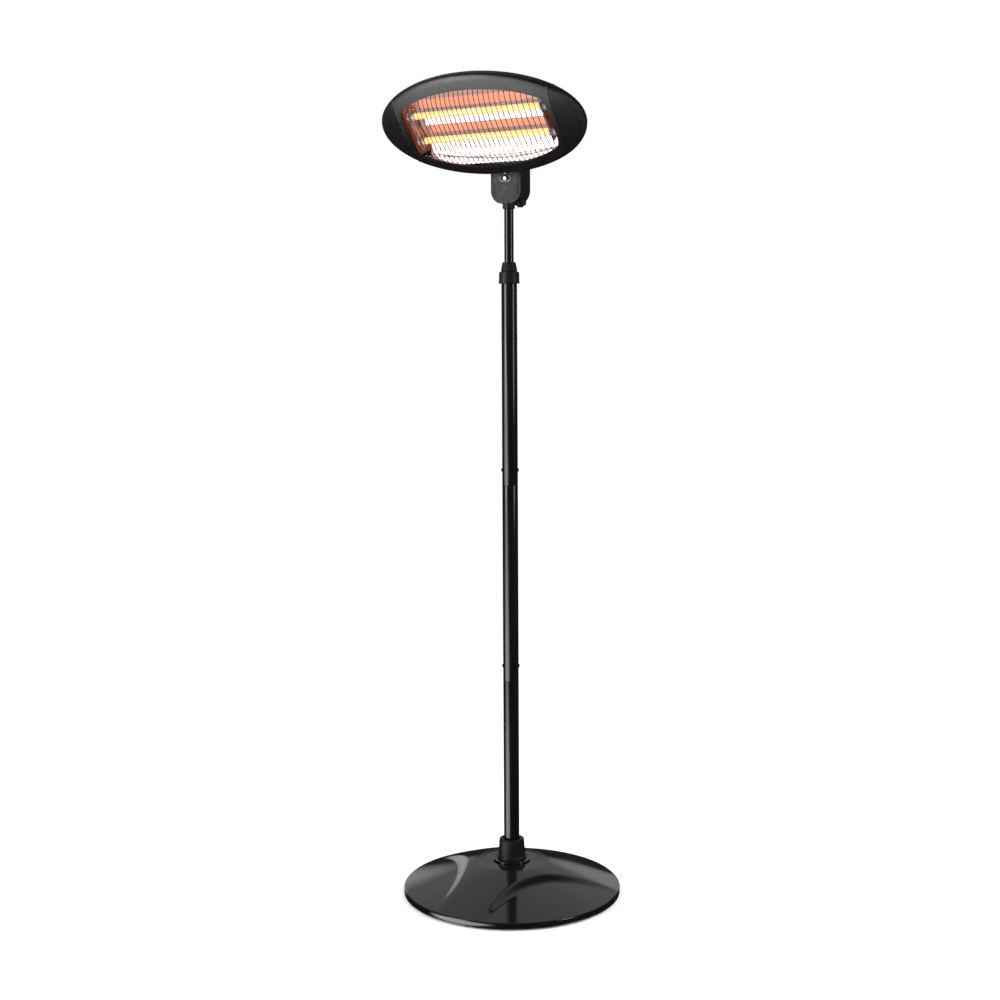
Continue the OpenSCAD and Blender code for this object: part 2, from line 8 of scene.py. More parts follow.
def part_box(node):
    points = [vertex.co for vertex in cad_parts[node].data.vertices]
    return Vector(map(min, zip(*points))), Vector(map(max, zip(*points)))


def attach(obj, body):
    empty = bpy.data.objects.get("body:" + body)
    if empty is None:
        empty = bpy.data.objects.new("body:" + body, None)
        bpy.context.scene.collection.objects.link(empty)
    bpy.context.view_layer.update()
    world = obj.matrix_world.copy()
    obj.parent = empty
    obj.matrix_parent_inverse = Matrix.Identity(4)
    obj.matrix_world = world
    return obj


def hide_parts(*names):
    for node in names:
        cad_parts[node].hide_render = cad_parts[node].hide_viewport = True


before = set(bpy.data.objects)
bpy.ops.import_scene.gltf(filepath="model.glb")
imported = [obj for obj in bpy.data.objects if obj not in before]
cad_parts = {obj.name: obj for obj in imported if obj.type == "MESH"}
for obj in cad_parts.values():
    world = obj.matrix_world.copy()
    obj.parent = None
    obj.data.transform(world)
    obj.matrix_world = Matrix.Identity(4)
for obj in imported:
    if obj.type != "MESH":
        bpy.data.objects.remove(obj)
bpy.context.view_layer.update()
scene = bpy.context.scene
xAxis, zAxis = Vector((1, 0, 0)), Vector((0, 0, 1))
print("frame loaded:", len(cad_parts), "nodes")

# places read from the frame
boxes = {node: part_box(node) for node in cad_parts}


def middleOf(node):
    low, high = boxes[node]
    return (low + high) / 2


def turnedSize(node):  # outer radius, lowest and highest point of a round part on the pole's axis
    low, high = boxes[node]
    return (high.x - low.x) / 2, low.z, high.z


upperTube, lowerTube = middleOf("upper_quartz_tube"), middleOf("lower_quartz_tube")
upFace = (upperTube - lowerTube).normalized()
outFace = xAxis.cross(upFace)
tubeGap = (upperTube - lowerTube).length / 2
head = {
    "halfWidth": (boxes["front_bezel"][1].x - boxes["front_bezel"][0].x) / 2,
    "halfHeight": 0.1279,
    "dome": 0.024,           # how far the bezel rises above the rim plane
    "ridge": 0.190,          # where the end wings start
    "windowWidth": 0.180,    # half
    "windowHeight": 0.098,   # half
    "windowOval": 1.2,       # width of the oval that the window's ends are cut from
    "cornerSoft": 0.018,     # length over which the window's corners are softened
    "cornerDecay": 2.718,
    "tubeDepth": 0.004,      # tubes sit this far behind the rim plane
    "wall": 0.0014,
    "sideDepth": 0.011,      # upright side wall of the casing
    "backDepth": 0.040,      # how far the back bulges past the side wall
}
rimMiddle = (upperTube + lowerTube) / 2 + outFace * head["tubeDepth"]
facePlace = Matrix((xAxis, upFace, outFace)).transposed().to_4x4()
facePlace.translation = rimMiddle


# camera, light and floor
camera = {
    "turn": 30,          # degrees to the right of straight ahead
    "distance": 3.5,     # metres on the floor from the pole
    "height": 1.3,
    "down": 6.3,         # degrees
    "roll": -0.31,
    "left": 0.023,       # metres left of the line through the pole
    "lens": 56,
}


def makeCamera():
    turn = radians(camera["turn"])
    right, away = Vector((cos(turn), sin(turn), 0)), Vector((sin(turn), -cos(turn), 0))
    data = bpy.data.cameras.new("camera")
    data.lens = camera["lens"]
    data.sensor_width = 36
    data.clip_end = 60
    rig = bpy.data.objects.new("camera", data)
    scene.collection.objects.link(rig)
    spot = away * camera["distance"] - right * camera["left"] + zAxis * camera["height"]
    aim = Matrix.Rotation(turn, 4, "Z") @ Matrix.Rotation(radians(90 - camera["down"]), 4, "X")
    rig.matrix_world = Matrix.Translation(spot) @ aim @ Matrix.Rotation(radians(camera["roll"]), 4, "Z")
    scene.camera = rig


softboxes = {
    # name: (place, aim, width, height, power, seen in reflections)
    "leftStrip": ((-1.35, -2.2, 1.75), (0.0, 0.0, 1.3), 1.1, 1.7, 50, True),
    "rightStrip": ((2.5, 0.1, 1.75), (0.0, 0.0, 1.3), 0.5, 1.7, 20, True),
    "backBox": ((2.1, 1.3, 3.5), (0.0, 0.0, 1.6), 1.3, 1.3, 42, False),
}
surroundings = {
    "floorLight": 1.13,    # even light that falls on the floor
    "dark": 0.02,          # what reflections see where nothing shines
    "core": 0.45,          # share of a patch's angle that is fully lit
    # reflected patches of light: (direction, angle to its edge in degrees, strength)
    "patches": [
        ((-0.43, -0.75, -0.46), 37, 6.4), ((-0.30, 0.50, 0.80), 48, 0.62), ((0.0, 0.0, -1.0), 30, 0.2),
        ((-0.80, 0.60, 0.12), 17, 1.0), ((-0.12, 0.97, 0.20), 15, 0.7),
    ],
}


def makeLights():
    for name, (place, aim, width, height, power, reflected) in softboxes.items():
        data = bpy.data.lights.new(name, "AREA")
        data.shape = "RECTANGLE"
        data.size, data.size_y = width, height
        data.energy = power
        box = bpy.data.objects.new(name, data)
        box.visible_glossy = reflected
        scene.collection.objects.link(box)
        toward = Vector(aim) - Vector(place)
        box.matrix_world = Matrix.Translation(place) @ toward.to_track_quat("-Z", "Y").to_matrix().to_4x4()


def makeSurroundings():  # white for the lens, even light for the floor, soft patches for reflections
    world = bpy.data.worlds.new("studio")
    scene.world = world
    world.use_nodes = True
    nodes, links = world.node_tree.nodes, world.node_tree.links
    nodes.clear()

    def background(strength):
        node = nodes.new("ShaderNodeBackground")
        node.inputs["Color"].default_value = (1, 1, 1, 1)
        node.inputs["Strength"].default_value = strength
        return node

    def mixed(factor, first, second):
        mix = nodes.new("ShaderNodeMixShader")
        links.new(factor, mix.inputs["Fac"])
        links.new(first, mix.inputs[1])
        links.new(second, mix.inputs[2])
        return mix.outputs["Shader"]

    where = nodes.new("ShaderNodeTexCoord")
    total = None
    for direction, edge, strength in surroundings["patches"]:
        toward = nodes.new("ShaderNodeVectorMath")
        toward.operation = "DOT_PRODUCT"
        toward.inputs[1].default_value = Vector(direction).normalized()
        links.new(where.outputs["Generated"], toward.inputs[0])
        fade = nodes.new("ShaderNodeMapRange")
        fade.interpolation_type = "SMOOTHSTEP"
        fade.inputs["From Min"].default_value = cos(radians(edge))
        fade.inputs["From Max"].default_value = cos(radians(edge * surroundings["core"]))
        fade.inputs["To Max"].default_value = strength
        links.new(toward.outputs["Value"], fade.inputs["Value"])
        add = nodes.new("ShaderNodeMath")
        add.inputs[0].default_value = surroundings["dark"]
        links.new(fade.outputs["Result"], add.inputs[1])
        if total:
            links.new(total, add.inputs[0])
        total = add.outputs["Value"]
    reflected = background(1)
    links.new(total, reflected.inputs["Strength"])
    path = nodes.new("ShaderNodeLightPath")
    even, white = background(surroundings["floorLight"]).outputs[0], background(1).outputs[0]
    lit = mixed(path.outputs["Is Glossy Ray"], even, reflected.outputs[0])
    output = nodes.new("ShaderNodeOutputWorld")
    links.new(mixed(path.outputs["Is Camera Ray"], lit, white), output.inputs["Surface"])


floorRadius = 2.6


def makeFloor():
    bm = bmesh.new()
    bmesh.ops.create_circle(bm, cap_ends=True, radius=floorRadius, segments=128)
    mesh = bpy.data.meshes.new("floor")
    bm.to_mesh(mesh)
    bm.free()
    floor = bpy.data.objects.new("floor", mesh)
    scene.collection.objects.link(floor)
    mesh.materials.append(floorPaper())
    floor.visible_glossy = False


# materials
def shaderOf(material):
    return material.node_tree.nodes["Principled BSDF"]


def newMaterial(name, color, roughness, metallic=0.0, coat=0.0, coatRoughness=0.05, specular=0.5):
    material = bpy.data.materials.new(name)
    material.use_nodes = True
    shader = shaderOf(material)
    shader.inputs["Base Color"].default_value = (*color, 1)
    shader.inputs["Roughness"].default_value = roughness
    shader.inputs["Metallic"].default_value = metallic
    shader.inputs["Coat Weight"].default_value = coat
    shader.inputs["Coat Roughness"].default_value = coatRoughness
    shader.inputs["Specular IOR Level"].default_value = specular
    return material


def addNode(material, kind, **values):
    node = material.node_tree.nodes.new(kind)
    for key, value in values.items():
        node.inputs[key].default_value = value
    return node


def objectNoise(material, scale, detail=3.0, roughness=0.5, stretch=(1, 1, 1)):
    links = material.node_tree.links
    where = addNode(material, "ShaderNodeTexCoord")
    mapping = addNode(material, "ShaderNodeMapping")
    mapping.inputs["Scale"].default_value = stretch
    noise = addNode(material, "ShaderNodeTexNoise", Scale=scale, Detail=detail, Roughness=roughness)
    links.new(where.outputs["Object"], mapping.inputs["Vector"])
    links.new(mapping.outputs["Vector"], noise.inputs["Vector"])
    return noise


def varyColor(material, noise, dark, light, low=0.35, high=0.65):
    ramp = addNode(material, "ShaderNodeValToRGB")
    ramp.color_ramp.elements[0].position = low
    ramp.color_ramp.elements[0].color = (*dark, 1)
    ramp.color_ramp.elements[1].position = high
    ramp.color_ramp.elements[1].color = (*light, 1)
    links = material.node_tree.links
    links.new(noise.outputs["Fac"], ramp.inputs["Fac"])
    links.new(ramp.outputs["Color"], shaderOf(material).inputs["Base Color"])


def varyRoughness(material, noise, low, high):
    spread = addNode(material, "ShaderNodeMapRange")
    spread.inputs["From Min"].default_value = 0.3
    spread.inputs["From Max"].default_value = 0.7
    spread.inputs["To Min"].default_value = low
    spread.inputs["To Max"].default_value = high
    links = material.node_tree.links
    links.new(noise.outputs["Fac"], spread.inputs["Value"])
    links.new(spread.outputs["Result"], shaderOf(material).inputs["Roughness"])


def bumpFrom(material, noise, strength, distance):
    bump = addNode(material, "ShaderNodeBump", Strength=strength, Distance=distance)
    links = material.node_tree.links
    links.new(noise.outputs["Fac"], bump.inputs["Height"])
    links.new(bump.outputs["Normal"], shaderOf(material).inputs["Normal"])


def floorPaper():
    material = newMaterial("floorPaper", (0.86, 0.86, 0.86), 0.9)
    noise = objectNoise(material, 3.0)
    varyColor(material, noise, (0.85, 0.85, 0.85), (0.87, 0.87, 0.87))
    return material


def glossPaint():  # base cover: sprayed gloss black with a trace of orange peel
    material = newMaterial("glossPaint", (0.004, 0.004, 0.004), 0.12)
    varyColor(material, objectNoise(material, 8), (0.003, 0.003, 0.003), (0.005, 0.0046, 0.005))
    varyRoughness(material, objectNoise(material, 22, 4), 0.08, 0.16)
    bumpFrom(material, objectNoise(material, 420, 2), 0.015, 0.0004)
    return material


def tubePaint():  # pole sections: gloss black paint drawn out along the tube
    material = newMaterial("tubePaint", (0.003, 0.003, 0.003), 0.18, specular=0.4)
    streaks = objectNoise(material, 14, stretch=(1, 1, 0.1))
    varyColor(material, streaks, (0.0022, 0.0022, 0.0024), (0.0042, 0.004, 0.0042))
    varyRoughness(material, objectNoise(material, 60, 3, stretch=(1, 1, 0.15)), 0.16, 0.27)
    bumpFrom(material, objectNoise(material, 500, 2), 0.012, 0.0003)
    return material


def mouldedPlastic():  # collars, housing and neck: fine spark-eroded texture
    material = newMaterial("mouldedPlastic", (0.005, 0.005, 0.005), 0.42, specular=0.16)
    varyColor(material, objectNoise(material, 30), (0.0045, 0.0045, 0.0048), (0.0075, 0.0075, 0.008))
    varyRoughness(material, objectNoise(material, 90, 4), 0.34, 0.5)
    bumpFrom(material, objectNoise(material, 1500, 3), 0.22, 0.0004)
    return material


def shellPaint():  # head casing: satin heat-proof paint
    material = newMaterial("shellPaint", (0.0035, 0.0035, 0.0036), 0.3, specular=0.27)
    varyColor(material, objectNoise(material, 12), (0.003, 0.003, 0.0032), (0.0052, 0.005, 0.0052))
    varyRoughness(material, objectNoise(material, 140, 4), 0.26, 0.38)
    bumpFrom(material, objectNoise(material, 1900, 2), 0.14, 0.0003)
    return material


def zincPlate():  # fasteners and hidden steel
    material = newMaterial("zincPlate", (0.55, 0.56, 0.58), 0.32, metallic=1.0)
    varyColor(material, objectNoise(material, 60, 4), (0.45, 0.46, 0.48), (0.62, 0.62, 0.60))
    varyRoughness(material, objectNoise(material, 160, 4), 0.24, 0.45)
    bumpFrom(material, objectNoise(material, 800, 3), 0.06, 0.0004)
    return material


def blackOxide():  # joint screws, yoke and bracket
    material = newMaterial("blackOxide", (0.02, 0.02, 0.021), 0.38, metallic=0.6)
    varyColor(material, objectNoise(material, 70, 4), (0.006, 0.006, 0.0062), (0.012, 0.0115, 0.011))
    varyRoughness(material, objectNoise(material, 200, 4), 0.3, 0.48)
    bumpFrom(material, objectNoise(material, 1200, 2), 0.08, 0.0003)
    return material


def castIron():
    material = newMaterial("castIron", (0.06, 0.06, 0.062), 0.7, metallic=0.3)
    varyColor(material, objectNoise(material, 45, 6, 0.7), (0.035, 0.034, 0.034), (0.09, 0.085, 0.08))
    bumpFrom(material, objectNoise(material, 260, 5, 0.7), 0.6, 0.0012)
    return material


def footRubber():
    material = newMaterial("footRubber", (0.018, 0.018, 0.018), 0.75, specular=0.3)
    varyColor(material, objectNoise(material, 90, 4), (0.013, 0.013, 0.013), (0.028, 0.028, 0.027))
    bumpFrom(material, objectNoise(material, 900, 4), 0.3, 0.0005)
    return material


def nylon():
    material = newMaterial("nylon", (0.62, 0.6, 0.54), 0.45)
    varyColor(material, objectNoise(material, 50, 3), (0.56, 0.54, 0.48), (0.68, 0.66, 0.6))
    bumpFrom(material, objectNoise(material, 700, 3), 0.1, 0.0004)
    return material


def glossPlastic():  # switch surround
    material = newMaterial("glossPlastic", (0.02, 0.02, 0.021), 0.22, specular=0.55)
    varyRoughness(material, objectNoise(material, 120, 3), 0.16, 0.3)
    bumpFrom(material, objectNoise(material, 1100, 2), 0.05, 0.0003)
    return material


def buttonChrome():
    material = newMaterial("buttonChrome", (0.83, 0.84, 0.86), 0.12, metallic=1.0)
    varyRoughness(material, objectNoise(material, 260, 3), 0.08, 0.18)
    return material


def ceramicWhite():
    material = newMaterial("ceramicWhite", (0.45, 0.41, 0.36), 0.45)
    varyColor(material, objectNoise(material, 80, 4), (0.38, 0.34, 0.29), (0.52, 0.48, 0.43))
    bumpFrom(material, objectNoise(material, 900, 4), 0.18, 0.0004)
    return material


def mirrorAluminiumPaintedGlow():  # polished reflector sheet; its pinkish emission is a painted glow, a painted reflection of the hot tubes
    material = newMaterial("mirrorAluminiumPaintedGlow", (0.225, 0.21, 0.205), 0.07, metallic=1.0)
    varyRoughness(material, objectNoise(material, 90, 3, stretch=(0.05, 1, 1)), 0.05, 0.1)
    # painted reflection: a faint pinkish emission stands in for the tubes' light reflected by the sheet
    return glowing(material, (1.0, 0.6, 0.52), 0.42)


def stainedSteelPaintedGlow():  # end plates, browned by the heat; their faint red emission is a painted glow, not a lamp
    material = newMaterial("stainedSteelPaintedGlow", (0.2, 0.12, 0.09), 0.4, metallic=0.9)
    varyColor(material, objectNoise(material, 60, 4), (0.10, 0.05, 0.04), (0.26, 0.16, 0.12))
    varyRoughness(material, objectNoise(material, 120, 3), 0.32, 0.5)
    # painted glow: red emission on the end plates stands in for the tubes' light falling on them
    return glowing(material, (1.0, 0.16, 0.05), 0.16)


def guardChrome():
    material = newMaterial("guardChrome", (0.16, 0.16, 0.165), 0.2, metallic=1.0)
    varyColor(material, objectNoise(material, 300, 3), (0.13, 0.13, 0.135), (0.2, 0.2, 0.205))
    varyRoughness(material, objectNoise(material, 500, 3), 0.16, 0.28)
    return material


def glowing(material, color, strength):
    shader = shaderOf(material)
    shader.inputs["Emission Color"].default_value = (*color, 1)
    shader.inputs["Emission Strength"].default_value = strength
    return material


def quartzGlow():  # milky quartz lit from inside
    material = newMaterial("quartzGlow", (0.95, 0.5, 0.3), 0.18, coat=0.6, coatRoughness=0.06)
    varyColor(material, objectNoise(material, 70, 3, stretch=(0.2, 1, 1)), (0.9, 0.36, 0.2), (1.0, 0.6, 0.38))
    glowing(material, (1.0, 0.3, 0.045), 1.5)
    shaderOf(material).inputs["Alpha"].default_value = 0.72
    return material


def coilGlow():
    material = newMaterial("coilGlow", (1.0, 0.5, 0.2), 0.5)
    varyColor(material, objectNoise(material, 120, 2), (1.0, 0.42, 0.15), (1.0, 0.62, 0.3))
    return glowing(material, (1.0, 0.5, 0.12), 6)


# shaping helpers
def finishPiece(bm, name, body, material, stands=(), sharp=35, bevel=0.0, wall=0.0, side=-1, weld=True):
    if weld:
        bmesh.ops.remove_doubles(bm, verts=bm.verts, dist=1e-6)
    bmesh.ops.recalc_face_normals(bm, faces=bm.faces)
    limit = radians(sharp)
    for face in bm.faces:
        face.smooth = True
    for edge in bm.edges:
        edge.smooth = len(edge.link_faces) == 2 and edge.calc_face_angle(0) < limit
    mesh = bpy.data.meshes.new(name)
    bm.to_mesh(mesh)
    bm.free()
    mesh.materials.append(material)
    piece = bpy.data.objects.new(name, mesh)
    scene.collection.objects.link(piece)
    if wall:
        shell = piece.modifiers.new("wall", "SOLIDIFY")
        shell.thickness = wall
        shell.offset = side
        shell.use_even_offset = True
    if bevel:
        edges = piece.modifiers.new("edges", "BEVEL")
        edges.width = bevel
        edges.segments = 3
        edges.limit_method = "ANGLE"
        edges.angle_limit = radians(40)
        edges.harden_normals = True
    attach(piece, body)
    if stands:
        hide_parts(*stands)


def turned(profile, closed=True, steps=96, bm=None, place=Matrix()):
    bm = bm or bmesh.new()
    points = [bm.verts.new((radius, 0, z)) for radius, z in profile]
    pairs = list(zip(points, points[1:])) + ([(points[-1], points[0])] if closed else [])
    edges = [bm.edges.new(pair) for pair in pairs]
    before = set(bm.verts) - set(points)
    bmesh.ops.spin(bm, geom=points + edges, axis=zAxis, angle=2 * pi, steps=steps, use_merge=True)
    bmesh.ops.transform(bm, matrix=place, verts=[v for v in bm.verts if v not in before])
    return bm


def roundedProfile(corners, steps=4):  # (radius, height, corner radius) points, corners rounded
    points = []
    count = len(corners)
    for i, (x, z, size) in enumerate(corners):
        here = Vector((x, z))
        before = Vector(corners[i - 1][:2]) - here
        after = Vector(corners[(i + 1) % count][:2]) - here
        if size <= 0:
            points.append((x, z))
            continue
        start, end = here + before.normalized() * size, here + after.normalized() * size
        for k in range(steps + 1):
            t = k / steps
            spot = start.lerp(here, t).lerp(here.lerp(end, t), t)
            points.append((spot.x, spot.y))
    return points


def tubeProfile(radius, wall, low, high, edge, steps):
    inside = radius - wall
    corners = [(inside, low, 0), (radius, low, edge), (radius, high, edge), (inside, high, 0)]
    return roundedProfile(corners, steps)


def around(count, turn=0.0):
    return [Matrix.Rotation(radians(turn) + 2 * pi * i / count, 4, "Z") for i in range(count)]


def boxSolid(bm, size, place):
    made = bmesh.ops.create_cube(bm, size=1)["verts"]
    bmesh.ops.transform(bm, matrix=place @ Matrix.Diagonal((*size, 1)), verts=made)


def wiresFrom(paths, radius, name, sides=2):  # round wires along paths, as one mesh
    curve = bpy.data.curves.new(name, "CURVE")
    curve.dimensions = "3D"
    curve.bevel_depth = radius
    curve.bevel_resolution = sides
    curve.use_fill_caps = True
    for path in paths:
        spline = curve.splines.new("POLY")
        spline.points.add(len(path) - 1)
        for point, spot in zip(spline.points, path):
            point.co = (*spot, 1)
    carrier = bpy.data.objects.new(name, curve)
    scene.collection.objects.link(carrier)
    graph = bpy.context.evaluated_depsgraph_get()
    mesh = bpy.data.meshes.new_from_object(carrier.evaluated_get(graph))
    bm = bmesh.new()
    bm.from_mesh(mesh)
    bpy.data.objects.remove(carrier)
    bpy.data.meshes.remove(mesh)
    return bm


# base
baseShape = {
    "hub": 0.077,         # radius of the flat hub
    "hubHeight": 0.075,
    "hubStep": 0.0006,    # crisp step round the hub
    "rimTop": 0.0165,
    "rimFoot": 0.004,
    "rimRound": 0.0022,
    "rimInset": 0.0006,
    "doming": 1.15,
    "scoops": 3,
    "scoopTurn": -30,     # degrees
    "scoopRadius": 0.289,
    "scoopCentre": 0.391,
    "scoopDrop": 0.012,
    "scoopWall": 0.024,   # width of the slope down into a scoop
    "scoopEnd": 0.105,    # radius inside which scoops keep their full drop
    "rings": 90,
    "steps": 384,
    "sheet": 0.0014,
}


def domeHeight(radius):
    shape = baseShape
    rim = turnedSize("base_cover")[0]
    if radius <= shape["hub"]:
        return shape["hubHeight"]
    share = (radius - shape["hub"]) / (rim - shape["hub"])
    return shape["rimTop"] + (shape["hubHeight"] - shape["rimTop"]) * (1 - share ** shape["doming"])


def smoothStep(value):
    value = min(1.0, max(0.0, value))
    return value * value * (3 - 2 * value)


def scoopDepth(spot):
    shape = baseShape
    rim = turnedSize("base_cover")[0]
    radius = sqrt(spot.x ** 2 + spot.y ** 2)
    fall = shape["scoopDrop"] * max(0.0, rim - radius) / (rim - shape["scoopEnd"])
    deepest = 0.0
    for i in range(shape["scoops"]):
        angle = radians(shape["scoopTurn"] + 360 * i / shape["scoops"])
        across, along = shape["scoopCentre"] * cos(angle), shape["scoopCentre"] * sin(angle)
        away = Vector((spot.x - across, spot.y - along))
        deepest = max(deepest, smoothStep((shape["scoopRadius"] - away.length) / shape["scoopWall"]))
    return min(fall, shape["scoopDrop"]) * deepest


def makeBaseCover(paint):
    shape = baseShape
    rim = turnedSize("base_cover")[0]
    hole = turnedSize("pole_socket")[0] * 0.5
    hub, top, foot = shape["hub"], shape["hubHeight"], shape["rimFoot"]
    fillet, inset = shape["rimRound"], shape["rimInset"]
    profile = [(hole, top), (0.06, top), (hub - 0.002, top)]
    for i in range(shape["rings"] + 1):
        radius = hub + (rim - fillet - hub) * i / shape["rings"]
        profile.append((radius, domeHeight(radius) - (shape["hubStep"] if i == 0 else 0.0)))
    for angle in (60, 30, 0):
        across, up = fillet * (1 - cos(radians(angle))), fillet * sin(radians(angle))
        profile.append((rim - across, shape["rimTop"] - fillet + up))
    profile += [(rim - inset, shape["rimTop"] - 0.0045), (rim - inset, foot + 0.001), (rim, foot)]
    bm = turned(profile, closed=False, steps=shape["steps"])
    for vert in bm.verts:
        radius = sqrt(vert.co.x ** 2 + vert.co.y ** 2)
        if hub + 0.001 < radius < rim - 0.003:
            vert.co.z -= scoopDepth(vert.co)
    finishPiece(bm, "baseCover", "base", paint, ("base_cover",), wall=shape["sheet"], sharp=50)


undersideShape = {"plateHole": 0.022, "weightHole": 0.0055}
footShape = {"count": 6, "radius": 0.009, "ring": 0.232, "height": 0.005, "dimple": 0.0006}


def makeBaseUnderside(plateMetal, weightMetal, rubber):
    low, high = boxes["bottom_plate"]
    radius, hole = (high.x - low.x) / 2, undersideShape["plateHole"]
    profile = roundedProfile([
        (hole, low.z, 0), (radius, low.z, 0.0006), (radius, high.z, 0.0006), (hole, high.z, 0),
    ])
    finishPiece(turned(profile, steps=160), "bottomPlate", "base", plateMetal, ("bottom_plate",))
    radius, low, high = turnedSize("base_weight")
    hole = undersideShape["weightHole"]
    profile = roundedProfile([(hole, low, 0), (radius, low, 0.002), (radius, high, 0.003), (hole, high, 0)])
    finishPiece(turned(profile, steps=128), "baseWeight", "base", weightMetal, ("base_weight",))
    makeFeet(rubber)


def makeFeet(rubber):
    foot = footShape
    radius, height, dimple = foot["radius"], foot["height"], foot["dimple"]
    bm = bmesh.new()
    profile = roundedProfile([
        (0, dimple, 0), (radius * 0.55, dimple, 0), (radius * 0.6, 0, 0.0003),
        (radius, 0, 0.0012), (radius * 0.86, height, 0.0006), (0, height, 0),
    ])
    for turn in around(foot["count"], baseShape["scoopTurn"]):
        place = turn @ Matrix.Translation((foot["ring"], 0, 0))
        turned(profile, closed=False, steps=32, bm=bm, place=place)
    finishPiece(bm, "rubberFeet", "base", rubber, ("rubber_feet",))


socketShape = {"low": 0.075, "high": 0.079, "play": 0.0003}
collarShape = {"flare": 0.0335, "waist": 0.0318, "top": 0.029}


def makePoleFoot(paint, plastic):
    flange = turnedSize("pole_socket")[0]
    low, high = socketShape["low"], socketShape["high"]
    bore = turnedSize("pole_lower")[0] + socketShape["play"]
    profile = roundedProfile([
        (bore, low, 0), (flange, low, 0.0004), (flange, high, 0.0016), (bore, high, 0),
    ], 5)
    finishPiece(turned(profile), "poleSocket", "base", paint, ("pole_socket",))
    flare, waist, top = collarShape["flare"], collarShape["waist"], collarShape["top"]
    _, low, high = turnedSize("base_collar")
    profile = roundedProfile([
        (bore, low, 0), (flare + 0.0005, low, 0.001), (flare - 0.0008, low + 0.0062, 0.002),
        (waist - 0.0006, low + 0.0085, 0.0012), (top + 0.0004, low + 0.031, 0.002),
        (top + 0.0002, low + 0.0345, 0.001), (top - 0.0004, high - 0.002, 0.0012),
        (top - 0.0022, high, 0.0012), (bore + 0.003, high, 0.001), (bore, high - 0.003, 0.001),
    ], 5)
    finishPiece(turned(profile, steps=128), "baseCollar", "base", plastic, ("base_collar",))


# pole
sectionShape = {"chamfer": 0.0009, "wall": 0.0012, "swage": 0.060, "swagePlay": 0.00015}


def makePole(paint, screwMetal):
    shape = sectionShape
    for node in ("pole_lower", "pole_middle", "pole_upper"):
        radius, low, high = turnedSize(node)
        swaged = node != "pole_upper"
        if swaged:
            high -= shape["swage"]  # the swaged end hides in the next section
        bm = turned(tubeProfile(radius, shape["wall"], low, high, shape["chamfer"], 3))
        if swaged:
            outer = radius - shape["wall"] - shape["swagePlay"]
            inner, foot, tip = outer - shape["wall"], high - 0.002, high + shape["swage"]
            turned([(inner, foot), (outer, foot), (outer, tip), (inner, tip)], bm=bm)
        finishPiece(bm, node.replace("pole_", "pole"), "base", paint, (node,))
    makeJointScrews(screwMetal)


def screwHead(bm, radius, height, place, drive=0.55):
    profile = roundedProfile([
        (0, 0, 0), (radius, 0, 0), (radius, height * 0.55, height * 0.3),
        (radius * 0.55, height, height * 0.3), (0, height, 0),
    ], 3)
    turned(profile, closed=False, steps=28, bm=bm, place=place)
    slot = radius * drive
    for turn in (0, pi / 2):
        cross = place @ Matrix.Rotation(turn, 4, "Z") @ Matrix.Translation((0, 0, height))
        boxSolid(bm, (slot * 2, slot * 0.42, height * 0.12), cross)


jointScrew = {"radius": 0.0042, "height": 0.0022, "turns": (30, 210)}


def makeJointScrews(metal):
    low, high = boxes["pole_screws"]
    size = jointScrew["radius"]
    pole = turnedSize("pole_lower")[0]
    bm = bmesh.new()
    for z in (low.z + size, high.z - size):
        for turn in jointScrew["turns"]:
            place = Matrix.Translation((0, 0, z)) @ Matrix.Rotation(radians(turn), 4, "Z")
            place = place @ Matrix.Rotation(pi / 2, 4, "Y")
            screwHead(bm, size, jointScrew["height"], place @ Matrix.Translation((0, 0, pole - 0.0001)))
    finishPiece(bm, "jointScrews", "base", metal, ("pole_screws",), weld=False)


lockShape = {
    "ribs": 20,
    "ribHeight": 0.0006,
    "ribTop": 0.0155,     # above the nut's foot
    "nutFoot": 0.0178,    # radius
    "nutTop": 0.0152,
    "nutBore": 0.0148,
    "neck": 0.0145,       # thread under the nut
    "neckBore": 0.0122,
    "play": 0.0004,       # round the inner tube
}


def ribbed(bm, low, high, ribs, rise):  # pushes upright grip ribs out of a turned wall
    for vert in bm.verts:
        if low < vert.co.z < high:
            radius = sqrt(vert.co.x ** 2 + vert.co.y ** 2)
            wave = max(0.0, cos(atan2(vert.co.y, vert.co.x) * ribs)) ** 2
            edge = smoothStep(min(vert.co.z - low, high - vert.co.z) / 0.0015)
            grow = 1 + rise * wave * edge / radius
            vert.co.x *= grow
            vert.co.y *= grow


